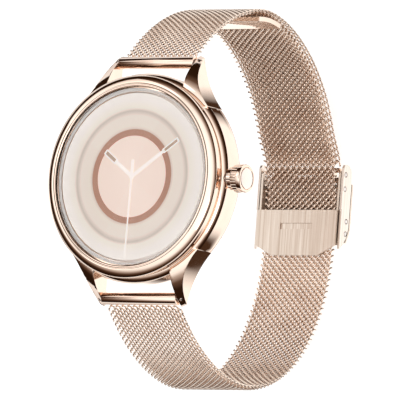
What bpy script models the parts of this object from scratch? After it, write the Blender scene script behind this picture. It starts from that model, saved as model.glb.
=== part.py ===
"""Round smartwatch with a push-and-turn crown, a woven wire strap and a sliding clasp.

Frame: origin at the centre of the flat case back, +Z out of the display, +X towards the crown
at 3 o'clock and +Y towards 12 o'clock. Sizes are named in millimetres and built in metres.
The clasp is laid out by y along the strap and by n, the depth outwards from its inner face.
"""

from collections import namedtuple
from math import acos, atan2, ceil, cos, degrees, pi, radians, sin, sqrt

import bmesh
import bpy
from mathutils import Matrix, Vector

MM = 0.001
MERGE = 0.00001

# ---- Driving dimensions, in millimetres ----
CLEARANCE = 0.25          # between neighbouring pieces
RUNNING = 0.15            # around a pin or a stem that turns

CASE_R = 21.0             # widest radius of the case
CASE_WALL = 2.1           # side wall above the shelf
SHOULDER_Z = 7.45         # top of the middle case, where the bezel sits
RIM_Z = 0.55              # bottom edge of the middle case
BACK_T = 1.1              # case back
SHELF_Z = 1.8             # underside of the ring that the case back screws into
SHELF_T = 0.8
SHELF_W = 2.3             # how far the shelf reaches in from the wall
BEZEL_H = 2.6
BEZEL_IN = 2.4            # outer edge of the bezel to its bore
CRYSTAL_T = 1.2
CRYSTAL_CHAMFER = 0.5
DISPLAY_T = 1.5
BOARD_T = 0.7
BATTERY_GAP = 3.0         # round the battery, inside the shelf
BATTERY_T = 2.9
SENSOR_R = 6.0
SENSOR_BOARD_T = 0.5
MOTOR_R = 1.2
SCREW_HEAD_R = 0.9
SCREW_R = 0.45
SCREW_COUNT = 4
CONTACT_R = 1.0
CONTACT_PITCH = 4.6

STRAP_W = 17.8            # woven mesh
STRAP_T = 1.25
LUG_SIDE_GAP = 0.3        # between a strap's edge and a lug
LUG_T = 1.0               # at the tip
LUG_LENGTH = 5.75         # from the case to the end of the lugs' falling face
LUG_FILLET = 20.0         # sweep of the lugs' outer sides into the case
LUG_TOP_Z = 7.3
LUG_BACK_Z = 2.2
LUG_FALL_POWER = 1.7
BAR_OUT = 2.6             # from the case to the spring bars
BAR_Z = 3.1
BAR_R = 0.6
BAR_TIP_R = 0.35
BAR_TIP_L = 0.7
TUBE_R = 1.25
TUBE_END_GAP = 0.3        # between a tube's end and a lug

CROWN_Z = 6.1
CROWN_R = 2.8
CROWN_HEAD_L = 2.4
CROWN_NECK_R = 2.3
CROWN_NECK_L = 1.2
CROWN_STEM_R = 0.45
CROWN_PLAY = 0.06         # between the sliding and turning sleeves
CROWN_TRAVEL = 0.5
CROWN_FLUTES = 16
CROWN_INSET_R = 2.1
BUSH_T = 0.2
CROWN_TUBE_T = 0.24

# Half of the strap's loop: length of the flat base, reach from there to the widest point,
# height of that point, depth from there to the base, superellipse exponents above and below it.
Loop = namedtuple("Loop", "flat reach mid_z depth above below")
UPPER_LOOP = Loop(7.8, 29.4, -21.2, 28.4, 1.8, 1.8)
LOWER_LOOP = Loop(5.1, 33.0, -22.7, 28.3, 1.8, 2.1)
STEP = 2.0                # spacing of the points along a strap

CLASP_INNER_Z = -49.6     # inner face of the lock lever, n = 0
CLASP_TOP_Y = 10.4
CLASP_BOTTOM_Y = -6.9
CLASP_WALL_T = 0.5
LEVER_T = 0.5
LEVER_TOP_Y = 1.0
LEVER_BOTTOM_Y = -8.3
LEVER_ARM_T = 0.5
LEVER_CUT_X = 4.0         # width lost at each lower corner
LEVER_CUT_Y = 2.1
LEVER_PIVOT = (8.3, 1.4)  # y, n
GUIDE_RIVET = (5.4, 1.4)
CATCH_BAR_Y = -1.1
LOWER_BAR_Y = -3.6
BAR_DROP = 0.35           # from the cross plates' inner face to the bars' centres
CLASP_PIN_R = 0.4
FLOOR_GAP = 0.3           # strap to cross plates
FLOOR_T = 0.45
UPPER_PLATE_Y = (0.3, 5.4)
LOWER_PLATE_L = 1.2
LOWER_PLATE_T = 0.3
HOOK_PIVOT_Y = 7.4
HOOK_PIVOT_DROP = 0.45    # from the upper strap's outer face to the hook's pin
HOOK_PIN_R = 0.35
KNUCKLE_R = 0.65
HOOK_T = 0.4
HOOK_LIP_GAP = 0.45
HOOK_W = 13.0
COVER_T = 0.5
COVER_START = 0.75        # from the hook's pin to the cover's end, clear of the clip when open
EAR_GAP_Y = 1.35          # room in the clip for the cover's ears, past the pin
COVER_GAP = 0.2
MESH_INNER_N = 0.75       # the lower strap's inner face under the lever
SLOT_L = 7.7
SLOT_W = 1.2
SLOT_Y = -2.3
SLOT_DEPTH = 0.25
STRAP_MEET_Y = 9.9        # end of the upper strap's mesh
UPPER_END_DROP = 0.3      # how much deeper it lies there than the strap under the lever
RISE_END_Y = 3.0          # the lower strap is straight below this
DIP_START_Y = 17.0
TAIL_END_Z = -26.2        # end of the lower strap's mesh, inside the upper strap
TAIL_TIP_L = 8.2
TAIL_TIP_T = 1.0

SMOOTH_ANGLE = radians(32)
RING_STEPS = 64
DISC_STEPS = 36
ROD_STEPS = 14

# ---- Sizes that follow ----
CASE_BORE = CASE_R - CASE_WALL - 1.0
BACK_R = CASE_R - CASE_WALL - CLEARANCE
SHELF_BORE = CASE_BORE - SHELF_W
SHELF_TOP_Z = SHELF_Z + SHELF_T
BATTERY_R = SHELF_BORE - BATTERY_GAP
BEZEL_R = CASE_R - 0.7
BEZEL_BORE = BEZEL_R - BEZEL_IN
BEZEL_Z = SHOULDER_Z + CLEARANCE
BEZEL_TOP_Z = BEZEL_Z + BEZEL_H
CRYSTAL_R = BEZEL_BORE - CLEARANCE
CRYSTAL_TOP_Z = BEZEL_TOP_Z + 0.2
CRYSTAL_Z = CRYSTAL_TOP_Z - CRYSTAL_T
GASKET_T = 0.4
DISPLAY_TOP_Z = CRYSTAL_Z - 0.1
DISPLAY_R = CRYSTAL_R - 0.8
DISPLAY_Z = DISPLAY_TOP_Z - DISPLAY_T
SENSOR_BOARD_Z = BACK_T + CLEARANCE
BATTERY_Z = SENSOR_BOARD_Z + SENSOR_BOARD_T + CLEARANCE
BOARD_Z = BATTERY_Z + BATTERY_T + CLEARANCE
BOARD_R = BATTERY_R + 0.9
FRAME_R = CASE_BORE - CLEARANCE
FRAME_IN_R = BOARD_R + CLEARANCE
FRAME_TOP_Z = DISPLAY_Z - CLEARANCE
SCREW_RING_R = (CASE_BORE + SHELF_BORE) / 2
STRAP_HALF = STRAP_W / 2
LUG_IN_X = STRAP_HALF + LUG_SIDE_GAP
LUG_OUT_X = LUG_IN_X + LUG_T
LUG_END_R = CASE_R + LUG_LENGTH
BAR_Y = CASE_R + BAR_OUT
TUBE_HALF = LUG_IN_X - TUBE_END_GAP
TUBE_BORE = BAR_R + RUNNING
ARM_IN_X = STRAP_HALF + CLEARANCE
ARM_OUT_X = ARM_IN_X + LEVER_ARM_T
WALL_IN_X = ARM_OUT_X + 0.2
WALL_OUT_X = WALL_IN_X + CLASP_WALL_T
LAYER_PITCH = STRAP_T + CLEARANCE
FLOOR_N = MESH_INNER_N + STRAP_T + FLOOR_GAP
FLOOR_OUT_N = FLOOR_N + FLOOR_T
CATCH_BAR = (CATCH_BAR_Y, FLOOR_N + BAR_DROP)
LOWER_BAR = (LOWER_BAR_Y, FLOOR_N + BAR_DROP)
HOOK_N = max(FLOOR_OUT_N, CATCH_BAR[1] + CLASP_PIN_R) + RUNNING
CLASP_DEPTH = HOOK_N + HOOK_T
COVER_N = CLASP_DEPTH + COVER_GAP
UPPER_END_N = MESH_INNER_N + STRAP_T / 2 + UPPER_END_DROP
HOOK_PIVOT = (HOOK_PIVOT_Y, UPPER_END_N + STRAP_T / 2 + HOOK_PIVOT_DROP)
CROWN_TUBE_X = CASE_R - CASE_WALL - 1.6
NECK_X = CASE_R + CROWN_TRAVEL + 0.15
HEAD_X = NECK_X + CROWN_NECK_L
HEAD_END_X = HEAD_X + CROWN_HEAD_L
BUSH_BORE = CROWN_STEM_R + CROWN_PLAY
BUSH_R = BUSH_BORE + BUSH_T
CROWN_TUBE_BORE = BUSH_R + CROWN_PLAY
CROWN_TUBE_R = CROWN_TUBE_BORE + CROWN_TUBE_T
STEM_IN_X = CROWN_TUBE_X - 0.9
SWITCH_X = STEM_IN_X - CROWN_TRAVEL - 0.1

ROSE = (0.82, 0.62, 0.53, 1.0)
PALE_ROSE = (0.90, 0.78, 0.72, 1.0)
STEEL = (0.72, 0.71, 0.70, 1.0)
DARK = (0.05, 0.05, 0.06, 1.0)
GLASS = (0.85, 0.88, 0.90, 1.0)
PEACH = (0.96, 0.89, 0.86, 1.0)
GREEN = (0.05, 0.28, 0.14, 1.0)
SILVER = (0.75, 0.76, 0.78, 1.0)
GOLD = (0.86, 0.66, 0.30, 1.0)


# ---- Scene, materials and links ----
def clear_scene():
    for item in list(bpy.data.objects):
        bpy.data.objects.remove(item, do_unlink=True)


def new_collection(name):
    collection = bpy.data.collections.new(name)
    bpy.context.scene.collection.children.link(collection)
    return collection


def material(name, colour, roughness, metallic):
    made = bpy.data.materials.new(name)
    made.use_nodes = True
    shader = made.node_tree.nodes["Principled BSDF"]
    shader.inputs["Base Color"].default_value = colour
    shader.inputs["Roughness"].default_value = roughness
    shader.inputs["Metallic"].default_value = metallic
    return made


def move_to(item, collection):
    for old in list(item.users_collection):
        old.objects.unlink(item)
    collection.objects.link(item)


def smooth(item):
    item.data.shade_smooth()
    item.data.set_sharp_from_angle(angle=SMOOTH_ANGLE)


def finish(item, name, colour, roughness=0.25, metallic=1.0):
    """Name a piece, give it its own material and put it in the watch's collection."""
    item.name = name
    item.data.name = name
    item.data.materials.clear()
    item.data.materials.append(material(name, colour, roughness, metallic))
    smooth(item)
    move_to(item, WATCH)
    return item


def as_tool(item, name):
    """Keep a cutter or a shape to be joined out of the picture."""
    item.name = name
    item.hide_render = True
    item.display_type = "WIRE"
    move_to(item, CUTTERS)
    return item


def combine(item, tool, operation, name):
    step = item.modifiers.new(name, "BOOLEAN")
    step.operation = operation
    step.object = as_tool(tool, name)
    return item


def cut(item, tool, name):
    return combine(item, tool, "DIFFERENCE", name)


def join(item, tool, name):
    return combine(item, tool, "UNION", name)


def pivot(name, y, z, parent=None, x=0.0):
    """An empty on a joint's axis."""
    empty = bpy.data.objects.new(name, None)
    empty.location = Vector((x, y, z)) * MM
    WATCH.objects.link(empty)
    bpy.context.view_layer.update()
    if parent:
        attach(empty, parent)
    return empty


def attach(item, parent):
    bpy.context.view_layer.update()
    item.parent = parent
    item.matrix_parent_inverse = parent.matrix_world.inverted()
    return item


# ---- Basic shapes ----
def box(low, high):
    """A cuboid between two corners."""
    size = [b - a for a, b in zip(low, high)]
    centre = [(a + b) / 2 for a, b in zip(low, high)]
    bpy.ops.mesh.primitive_cube_add(size=1, location=Vector(centre) * MM)
    item = bpy.context.object
    item.data.transform(Matrix.Diagonal(Vector([*size, 1 / MM])) * MM)
    return item


def rod(radius, start, end, axis="X", across=(0.0, 0.0), steps=ROD_STEPS):
    """A cylinder along X or Z between two stations; across is its place on the other two axes."""
    middle = (start + end) / 2
    if axis == "X":
        place, turn = (middle, *across), (0, pi / 2, 0)
    else:
        place, turn = (*across, middle), (0, 0, 0)
    bpy.ops.mesh.primitive_cylinder_add(
        vertices=steps, radius=radius * MM, depth=(end - start) * MM,
        location=Vector(place) * MM, rotation=turn)
    return bpy.context.object


def turned(profile, steps=RING_STEPS, closed=True):
    """A profile of (radius, z) points turned about Z; its outer side runs downwards."""
    mesh = bpy.data.meshes.new("turned")
    points = [(r * MM, 0, z * MM) for r, z in profile]
    count = len(points)
    edges = [(i, i + 1) for i in range(count - 1)]
    if closed:
        edges.append((count - 1, 0))
    mesh.from_pydata(points, edges, [])
    item = bpy.data.objects.new("turned", mesh)
    WATCH.objects.link(item)
    spin = item.modifiers.new("turn", "SCREW")
    spin.axis = "Z"
    spin.angle = 2 * pi
    spin.steps = steps
    spin.render_steps = steps
    spin.use_merge_vertices = True
    spin.merge_threshold = MERGE
    spin.use_smooth_shade = False
    return item


def ring(inner, outer, low, high, steps=RING_STEPS):
    return turned([(inner, high), (outer, high), (outer, low), (inner, low)], steps)


def disc(radius, low, high, steps=DISC_STEPS, chamfer=0.0):
    """A round plate, with an optional chamfer on its upper edge."""
    profile = [(0, high), (radius - chamfer, high)]
    if chamfer:
        profile.append((radius, high - chamfer))
    profile += [(radius, low), (0, low)]
    return turned(profile, steps, closed=False)


def extruded(outline, thickness, frame):
    """A flat outline as a filled curve, extruded both ways and made a mesh in the given frame."""
    curve = bpy.data.curves.new("outline", "CURVE")
    curve.dimensions = "2D"
    curve.fill_mode = "BOTH"
    curve.extrude = thickness / 2 * MM
    spline = curve.splines.new("POLY")
    spline.points.add(len(outline) - 1)
    for point, (a, b) in zip(spline.points, outline):
        point.co = (a * MM, b * MM, 0, 1)
    spline.use_cyclic_u = True
    source = bpy.data.objects.new("outline", curve)
    WATCH.objects.link(source)
    source.matrix_world = frame
    bpy.context.view_layer.update()
    depsgraph = bpy.context.evaluated_depsgraph_get()
    mesh = bpy.data.meshes.new_from_object(source.evaluated_get(depsgraph))
    solid = bmesh.new()
    solid.from_mesh(mesh)
    bmesh.ops.remove_doubles(solid, verts=solid.verts, dist=MERGE)
    bmesh.ops.recalc_face_normals(solid, faces=solid.faces)
    solid.to_mesh(mesh)
    solid.free()
    item = bpy.data.objects.new("extruded", mesh)
    item.matrix_world = frame
    WATCH.objects.link(item)
    bpy.data.objects.remove(source, do_unlink=True)
    return item


def side_plate(outline, x_low, x_high):
    """An outline of (y, z) points extruded along X between two stations."""
    middle = (x_low + x_high) / 2 * MM
    frame = Matrix(((0, 0, 1, middle), (1, 0, 0, 0), (0, 1, 0, 0), (0, 0, 0, 1)))
    return extruded(outline, x_high - x_low, frame)


def flat_plate(outline, z_low, z_high):
    """An outline of (x, y) points extruded along Z between two heights."""
    frame = Matrix.Translation((0, 0, (z_low + z_high) / 2 * MM))
    return extruded(outline, z_high - z_low, frame)


def arc(centre, radius, start, end, steps):
    """Points on an arc, from one angle to another in degrees, both ends included."""
    angles = [radians(start + (end - start) * i / steps) for i in range(steps + 1)]
    return [(centre[0] + radius * cos(a), centre[1] + radius * sin(a)) for a in angles]


def clasp(y, n):
    """A place in the clasp, given by y and by depth n, as (y, z)."""
    return (y, CLASP_INNER_Z - n)


def clasp_outline(points):
    return [clasp(y, n) for y, n in points]


# ---- The line of the straps ----
def spread(value, power):
    return abs(value) ** power * (1 if value >= 0 else -1)


def loop_point(loop, angle, depth):
    """A point of a loop's centre line; above its widest point it aims for the spring bar."""
    power = loop.above if angle > 0 else loop.below
    height = depth
    if angle > 0:
        share = ((BAR_Y - loop.flat) / loop.reach) ** loop.above
        height = (BAR_Z - loop.mid_z) / (1 - share) ** (1 / loop.above)
    y = loop.flat + loop.reach * spread(cos(angle), 2 / power)
    z = loop.mid_z + height * spread(sin(angle), 2 / power)
    return Vector((y, z))


def eased(value):
    value = min(1.0, max(0.0, value))
    return value * value * (3 - 2 * value)


def side_line(loop, depth, dip):
    """Half the loop from the spring bar down to its base, finely spaced, on the +Y side."""
    points = []
    for i in range(721):
        point = loop_point(loop, radians(88 - 178 * i / 720), depth)
        away = (point - Vector((BAR_Y, BAR_Z))).length
        if point.y > BAR_Z or away < TUBE_R + CLEARANCE / 2:
            continue
        point.y -= dip * eased((DIP_START_Y - point.x) / (DIP_START_Y - STRAP_MEET_Y))
        points.append(point)
    return points


def offset(points, distance):
    """A line moved to the left of its direction of travel."""
    moved = []
    for i, point in enumerate(points):
        along = points[min(i + 1, len(points) - 1)] - points[max(i - 1, 0)]
        along.normalize()
        moved.append(point + Vector((-along.y, along.x)) * distance)
    return moved


def resample(points, step):
    """Evenly spaced points along a line, both ends kept."""
    reach = [0.0]
    for a, b in zip(points, points[1:]):
        reach.append(reach[-1] + (b - a).length)
    count = ceil(reach[-1] / step)
    result = []
    j = 0
    for i in range(count + 1):
        target = reach[-1] * i / count
        while j < len(points) - 2 and reach[j + 1] < target:
            j += 1
        share = (target - reach[j]) / (reach[j + 1] - reach[j])
        result.append(points[j].lerp(points[j + 1], share))
    return result


def upper_line():
    """Centre line of the 12 o'clock strap, from its tube to its end in the clasp."""
    base = UPPER_LOOP.mid_z - UPPER_LOOP.depth
    points = side_line(UPPER_LOOP, UPPER_LOOP.depth, base - CLASP_INNER_Z + UPPER_END_N)
    return [p for p in points if p.x >= STRAP_MEET_Y or p.y > UPPER_LOOP.mid_z]


def lower_line():
    """Centre line of the 6 o'clock strap: round the wrist, through the clasp, up inside the other."""
    flat_z = CLASP_INNER_Z - MESH_INNER_N - STRAP_T / 2
    near = [Vector((-p.x, p.y)) for p in side_line(LOWER_LOOP, LOWER_LOOP.mid_z - flat_z, 0.0)]
    far = offset(upper_line(), -LAYER_PITCH)[::-1]
    far = [p for p in far if p.x > STRAP_MEET_Y]
    start = far[0]
    rise = []
    for i in range(25):
        y = RISE_END_Y + (start.x - RISE_END_Y) * i / 25
        share = eased((y - RISE_END_Y) / (start.x - RISE_END_Y))
        rise.append(Vector((y, flat_z + (start.y - flat_z) * share)))
    return near + rise + far


def before_height(points, z):
    """The part of the lower strap's line up to a height on the 12 o'clock side."""
    return [p for p in points if not (p.x > STRAP_MEET_Y and p.y > z)]


def ribbon(points, half_width, thickness):
    """A strip that follows a line of (y, z) points, thickened evenly about it."""
    shape = bmesh.new()
    verts = [shape.verts.new((-half_width * MM, p.x * MM, p.y * MM)) for p in points]
    edges = [shape.edges.new(pair) for pair in zip(verts, verts[1:])]
    grown = bmesh.ops.extrude_edge_only(shape, edges=edges)["geom"]
    moved = [g for g in grown if isinstance(g, bmesh.types.BMVert)]
    bmesh.ops.translate(shape, verts=moved, vec=(2 * half_width * MM, 0, 0))
    mesh = bpy.data.meshes.new("ribbon")
    shape.to_mesh(mesh)
    shape.free()
    item = bpy.data.objects.new("ribbon", mesh)
    WATCH.objects.link(item)
    skin = item.modifiers.new("thickness", "SOLIDIFY")
    skin.thickness = thickness * MM
    skin.offset = 0
    skin.use_even_offset = True
    return item


# ---- Case ----
def lug_outline(side, end):
    """One lug seen from above, with the concave sweep into the round case."""
    reach = CASE_R + LUG_FILLET
    centre_x = LUG_OUT_X + LUG_FILLET
    centre_y = sqrt(reach ** 2 - centre_x ** 2)
    bearing = degrees(atan2(centre_y, centre_x))
    sweep = arc((centre_x, centre_y), LUG_FILLET, 180, 180 + bearing, 10)
    root_r = (CASE_BORE + CASE_R) / 2
    root = arc((0, 0), root_r, bearing, degrees(acos(LUG_IN_X / root_r)), 4)
    beyond = max(centre_y, LUG_END_R) + 1
    points = [(LUG_IN_X, beyond), (LUG_OUT_X, beyond)] + sweep + root
    return [(side * x, end * y) for x, y in points]


def lug_dome():
    """The falling outer face of all four lugs, a dome turned about the watch's axis."""
    steps = 8
    fall = LUG_TOP_Z - LUG_BACK_Z
    face = []
    for i in range(steps + 1):
        share = i / steps
        face.append((CASE_R + LUG_LENGTH * share, LUG_TOP_Z - fall * share ** LUG_FALL_POWER))
    return turned([(0, LUG_TOP_Z)] + face + [(0, LUG_BACK_Z)], closed=False)


def make_lug(side, end):
    corner = f"{'right' if side > 0 else 'left'}_{'upper' if end > 0 else 'lower'}"
    lug = flat_plate(lug_outline(side, end), LUG_BACK_Z - 1, LUG_TOP_Z + 1)
    combine(lug, lug_dome(), "INTERSECT", f"lug_dome_{corner}")
    hole = rod(BAR_TIP_R + RUNNING, LUG_IN_X - 1, LUG_IN_X + BAR_TIP_L + CLEARANCE,
               across=(end * BAR_Y, BAR_Z), steps=12)
    hole.location.x *= side
    return cut(lug, hole, f"bar_hole_{corner}")


def screw_places():
    angles = [radians(45 + 360 * i / SCREW_COUNT) for i in range(SCREW_COUNT)]
    return [(SCREW_RING_R * cos(a), SCREW_RING_R * sin(a)) for a in angles]


def make_mid_case():
    """The ring of the case with its four lugs, the crown's bore and the screw holes."""
    bore = CASE_R - CASE_WALL
    profile = [
        (CASE_BORE, SHOULDER_Z), (CASE_R - 1.0, SHOULDER_Z), (CASE_R - 0.35, SHOULDER_Z - 0.25),
        (CASE_R, SHOULDER_Z - 0.95), (CASE_R, SHOULDER_Z - 2.6), (CASE_R - 0.25, SHOULDER_Z - 4.4),
        (CASE_R - 0.9, RIM_Z + 0.85), (CASE_R - 1.7, RIM_Z), (bore, RIM_Z), (bore, SHELF_Z),
        (SHELF_BORE, SHELF_Z), (SHELF_BORE, SHELF_TOP_Z), (CASE_BORE, SHELF_TOP_Z)]
    case = turned(profile)
    for side in (1, -1):
        for end in (1, -1):
            join(case, make_lug(side, end), f"lug_{side}_{end}")
    cut(case, rod(CROWN_TUBE_R + CROWN_PLAY, CASE_BORE - 1, CASE_R + 1, across=(0, CROWN_Z), steps=24),
        "crown_bore")
    for i, place in enumerate(screw_places()):
        cut(case, rod(SCREW_R + RUNNING, SHELF_Z - 1, SHELF_TOP_Z + 1, "Z", place, 12), f"shelf_hole_{i + 1}")
    finish(case, "mid_case", ROSE, 0.12)


def make_bezel():
    """The polished ring round the crystal: a rounded outer bead and a sloping inner face."""
    bead = arc((BEZEL_R - 1.3, BEZEL_Z + 1.3), 1.3, 75, 0, 4)
    profile = [(BEZEL_BORE, BEZEL_TOP_Z - 0.35), (BEZEL_BORE + 0.35, BEZEL_TOP_Z)]
    profile += bead + [(BEZEL_R - 0.2, BEZEL_Z), (BEZEL_BORE - 1.0, BEZEL_Z)]
    profile += [(BEZEL_BORE - 1.0, CRYSTAL_Z - GASKET_T - 0.1), (BEZEL_BORE, CRYSTAL_Z - GASKET_T - 0.1)]
    finish(turned(profile), "bezel", ROSE, 0.08)


def make_glass_stack():
    finish(disc(CRYSTAL_R, CRYSTAL_Z, CRYSTAL_TOP_Z, RING_STEPS, CRYSTAL_CHAMFER), "crystal",
           GLASS, 0.02, 0.0)
    finish(ring(DISPLAY_R + 0.15, CRYSTAL_R - 0.1, CRYSTAL_Z - GASKET_T, CRYSTAL_Z - 0.1, 48),
           "crystal_gasket", DARK, 0.8, 0.0)
    finish(disc(DISPLAY_R - 0.2, DISPLAY_Z, DISPLAY_TOP_Z, 48), "display_panel", PEACH, 0.3, 0.0)


def make_inside():
    """The pieces stacked in the case: frame, boards, battery, motor and switch."""
    inner = ring(FRAME_IN_R, FRAME_R, SHELF_TOP_Z + CLEARANCE, FRAME_TOP_Z, 48)
    cut(inner, box((STEM_IN_X - 4.2, -3.4, CROWN_Z - 1.9), (CASE_R, 3.4, FRAME_TOP_Z + 1)), "switch_pocket")
    finish(inner, "inner_frame", DARK, 0.6, 0.0)

    board = disc(BOARD_R, BOARD_Z, BOARD_Z + BOARD_T)
    finish(board, "main_board", GREEN, 0.5, 0.0)

    battery = disc(BATTERY_R, BATTERY_Z, BATTERY_Z + BATTERY_T)
    cut(battery, box((BATTERY_R - 4.4, -BATTERY_R, 0), (BATTERY_R + 1, BATTERY_R, BOARD_Z + 1)), "battery_flat")
    finish(battery, "battery", SILVER, 0.4, 0.6)

    motor_x = BATTERY_R - 4.4 + CLEARANCE + MOTOR_R
    finish(rod(MOTOR_R, BATTERY_Z + 0.1, BATTERY_Z + BATTERY_T - 0.1, "Z", (motor_x + 0.6, 4.2), 20),
           "vibration_motor", SILVER, 0.3)

    switch = box((SWITCH_X - 1.3, -1.7, CROWN_Z - 1.1), (SWITCH_X - 0.3, 1.7, CROWN_Z + 0.8))
    join(switch, rod(0.6, SWITCH_X - 0.5, SWITCH_X, across=(0, CROWN_Z), steps=12), "switch_plunger")
    finish(switch, "tact_switch", STEEL, 0.35)

    finish(disc(SENSOR_R + 2.0, SENSOR_BOARD_Z, SENSOR_BOARD_Z + SENSOR_BOARD_T), "sensor_board", GREEN, 0.5, 0.0)


def make_back():
    """The flat case back with its window, charging contacts, gasket and screws."""
    back = turned([(SENSOR_R + CLEARANCE, BACK_T), (BACK_R, BACK_T), (BACK_R, 0.4), (BACK_R - 0.4, 0),
                   (SENSOR_R + CLEARANCE, 0)])
    for i, place in enumerate(screw_places()):
        hole = turned([(0, BACK_T + 1), (SCREW_R + RUNNING, BACK_T + 1), (SCREW_R + RUNNING, 0.6),
                       (SCREW_HEAD_R + RUNNING, 0.6), (SCREW_HEAD_R + RUNNING, -1), (0, -1)], 16, closed=False)
        hole.location = Vector((*place, 0)) * MM
        hole.rotation_euler.z = pi / 16
        cut(back, hole, f"back_hole_{i + 1}")
    for side, name in ((-1, "left"), (1, "right")):
        place = (side * CONTACT_PITCH / 2, -(SENSOR_R + 4.0))
        cut(back, rod(CONTACT_R + CLEARANCE, -1, BACK_T + 1, "Z", place), f"contact_hole_{name}")
        finish(rod(CONTACT_R, 0.05, BACK_T, "Z", place), f"charge_contact_{name}", GOLD, 0.25)
    finish(back, "case_back", ROSE, 0.3)
    finish(disc(SENSOR_R, 0, BACK_T), "sensor_window", DARK, 0.05, 0.0)
    finish(ring(CASE_BORE - 0.3, BACK_R - 0.2, BACK_T + 0.15, SHELF_Z - 0.15, 48), "back_gasket", DARK, 0.8, 0.0)
    for i, (x, y) in enumerate(screw_places()):
        screw = turned([(0, SHELF_TOP_Z - 0.1), (SCREW_R, SHELF_TOP_Z - 0.1), (SCREW_R, 0.45),
                        (SCREW_HEAD_R, 0.45), (SCREW_HEAD_R, 0.08), (0, 0.08)], ROD_STEPS, closed=False)
        slot = box((-SCREW_HEAD_R - 1, -0.13, -1), (SCREW_HEAD_R + 1, 0.13, 0.25))
        slot.location += Vector((x, y, 0)) * MM
        screw.location = Vector((x, y, 0)) * MM
        cut(screw, slot, f"screw_slot_{i + 1}")
        finish(screw, f"back_screw_{i + 1}", STEEL, 0.3)


# ---- Crown ----
def along_x(item):
    """Lay a piece turned about Z along the crown's axis."""
    item.matrix_world = Matrix.Translation((0, 0, CROWN_Z * MM)) @ Matrix.Rotation(pi / 2, 4, "Y")
    return item


def flute_cutter():
    """The scallops round the crown's head, as one tool."""
    shape = bmesh.new()
    middle = HEAD_X + (CROWN_HEAD_L - 0.7) / 2 - 0.5
    for i in range(CROWN_FLUTES):
        angle = 2 * pi * (i + 0.5) / CROWN_FLUTES
        place = Matrix.Rotation(angle, 4, "X") @ Matrix.Translation((middle * MM, 0, (CROWN_R + 0.12) * MM))
        bmesh.ops.create_cone(
            shape, cap_ends=True, segments=6, radius1=0.34 * MM, radius2=0.34 * MM,
            depth=(CROWN_HEAD_L + 0.3) * MM, matrix=place @ Matrix.Rotation(pi / 2, 4, "Y"))
    mesh = bpy.data.meshes.new("flutes")
    shape.to_mesh(mesh)
    shape.free()
    item = bpy.data.objects.new("flutes", mesh)
    item.location.z = CROWN_Z * MM
    WATCH.objects.link(item)
    return item


def make_crown(slide, spin):
    tube = along_x(ring(CROWN_TUBE_BORE, CROWN_TUBE_R, CROWN_TUBE_X, CASE_R - 0.1, 24))
    finish(tube, "crown_tube", STEEL, 0.3)

    bush = ring(BUSH_BORE, BUSH_R, CROWN_TUBE_X + CROWN_TRAVEL + 0.2, CASE_R - 1.2, 24)
    attach(finish(along_x(bush), "crown_bush", STEEL, 0.3), slide)
    seal = ring(BUSH_BORE, CROWN_TUBE_BORE - 0.03, CASE_R - 1.1, CASE_R - 0.7, 24)
    finish(along_x(seal), "crown_seal", DARK, 0.8, 0.0)

    knob = turned([
        (0, HEAD_END_X - 0.35), (CROWN_INSET_R + 0.1, HEAD_END_X - 0.35), (CROWN_INSET_R + 0.15, HEAD_END_X),
        (CROWN_R - 0.25, HEAD_END_X), (CROWN_R, HEAD_END_X - 0.25), (CROWN_R, HEAD_X + 0.25),
        (CROWN_R - 0.2, HEAD_X), (CROWN_NECK_R, HEAD_X), (CROWN_NECK_R, NECK_X), (CROWN_STEM_R, NECK_X),
        (CROWN_STEM_R, STEM_IN_X), (0, STEM_IN_X)], 32, closed=False)
    along_x(knob)
    cut(knob, flute_cutter(), "crown_flutes")
    attach(finish(knob, "crown_knob", ROSE, 0.15), spin)

    dome = []
    rise = 0.45
    for i in range(5):
        share = i / 5
        dome.append((CROWN_INSET_R * share, HEAD_END_X + rise * (1 - share ** 2)))
    edge = [(CROWN_INSET_R - 0.05, HEAD_END_X), (CROWN_INSET_R - 0.05, HEAD_END_X - 0.25), (0, HEAD_END_X - 0.25)]
    inset = along_x(turned(dome + edge, 24, closed=False))
    attach(finish(inset, "crown_inset", PALE_ROSE, 0.1), spin)


# ---- Strap ends at the case ----
def make_spring_bar(name, end):
    bar = rod(BAR_R, -TUBE_HALF, TUBE_HALF, across=(end * BAR_Y, BAR_Z))
    tips = rod(BAR_TIP_R, -(LUG_IN_X + BAR_TIP_L), LUG_IN_X + BAR_TIP_L, across=(end * BAR_Y, BAR_Z))
    finish(join(bar, tips, f"{name}_tips"), name, STEEL, 0.3)


def make_end_tube(name, end, parent):
    tube = rod(TUBE_R, -TUBE_HALF, TUBE_HALF, across=(end * BAR_Y, BAR_Z), steps=24)
    bore = rod(TUBE_BORE, -TUBE_HALF - 1, TUBE_HALF + 1, across=(end * BAR_Y, BAR_Z), steps=20)
    attach(finish(cut(tube, bore, f"{name}_bore"), name, ROSE, 0.1), parent)


# ---- Straps ----
def make_straps(upper, lower):
    mesh = ribbon(resample(upper_line(), STEP), STRAP_HALF, STRAP_T)
    attach(finish(mesh, "upper_strap_mesh", ROSE, 0.3), upper)

    whole = lower_line()
    kept = before_height(whole, TAIL_END_Z)
    mesh = ribbon(resample(kept, STEP), STRAP_HALF, STRAP_T)
    attach(finish(mesh, "lower_strap_mesh", ROSE, 0.3), lower)

    rest = whole[len(kept):]
    start = next(i for i, p in enumerate(rest) if (p - rest[0]).length > CLEARANCE)
    stop = next(i for i, p in enumerate(rest) if (p - rest[0]).length > TAIL_TIP_L)
    tip = ribbon(resample(rest[start:stop], STEP), STRAP_HALF, TAIL_TIP_T)
    attach(finish(tip, "tail_tip", ROSE, 0.1), lower)


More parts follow.
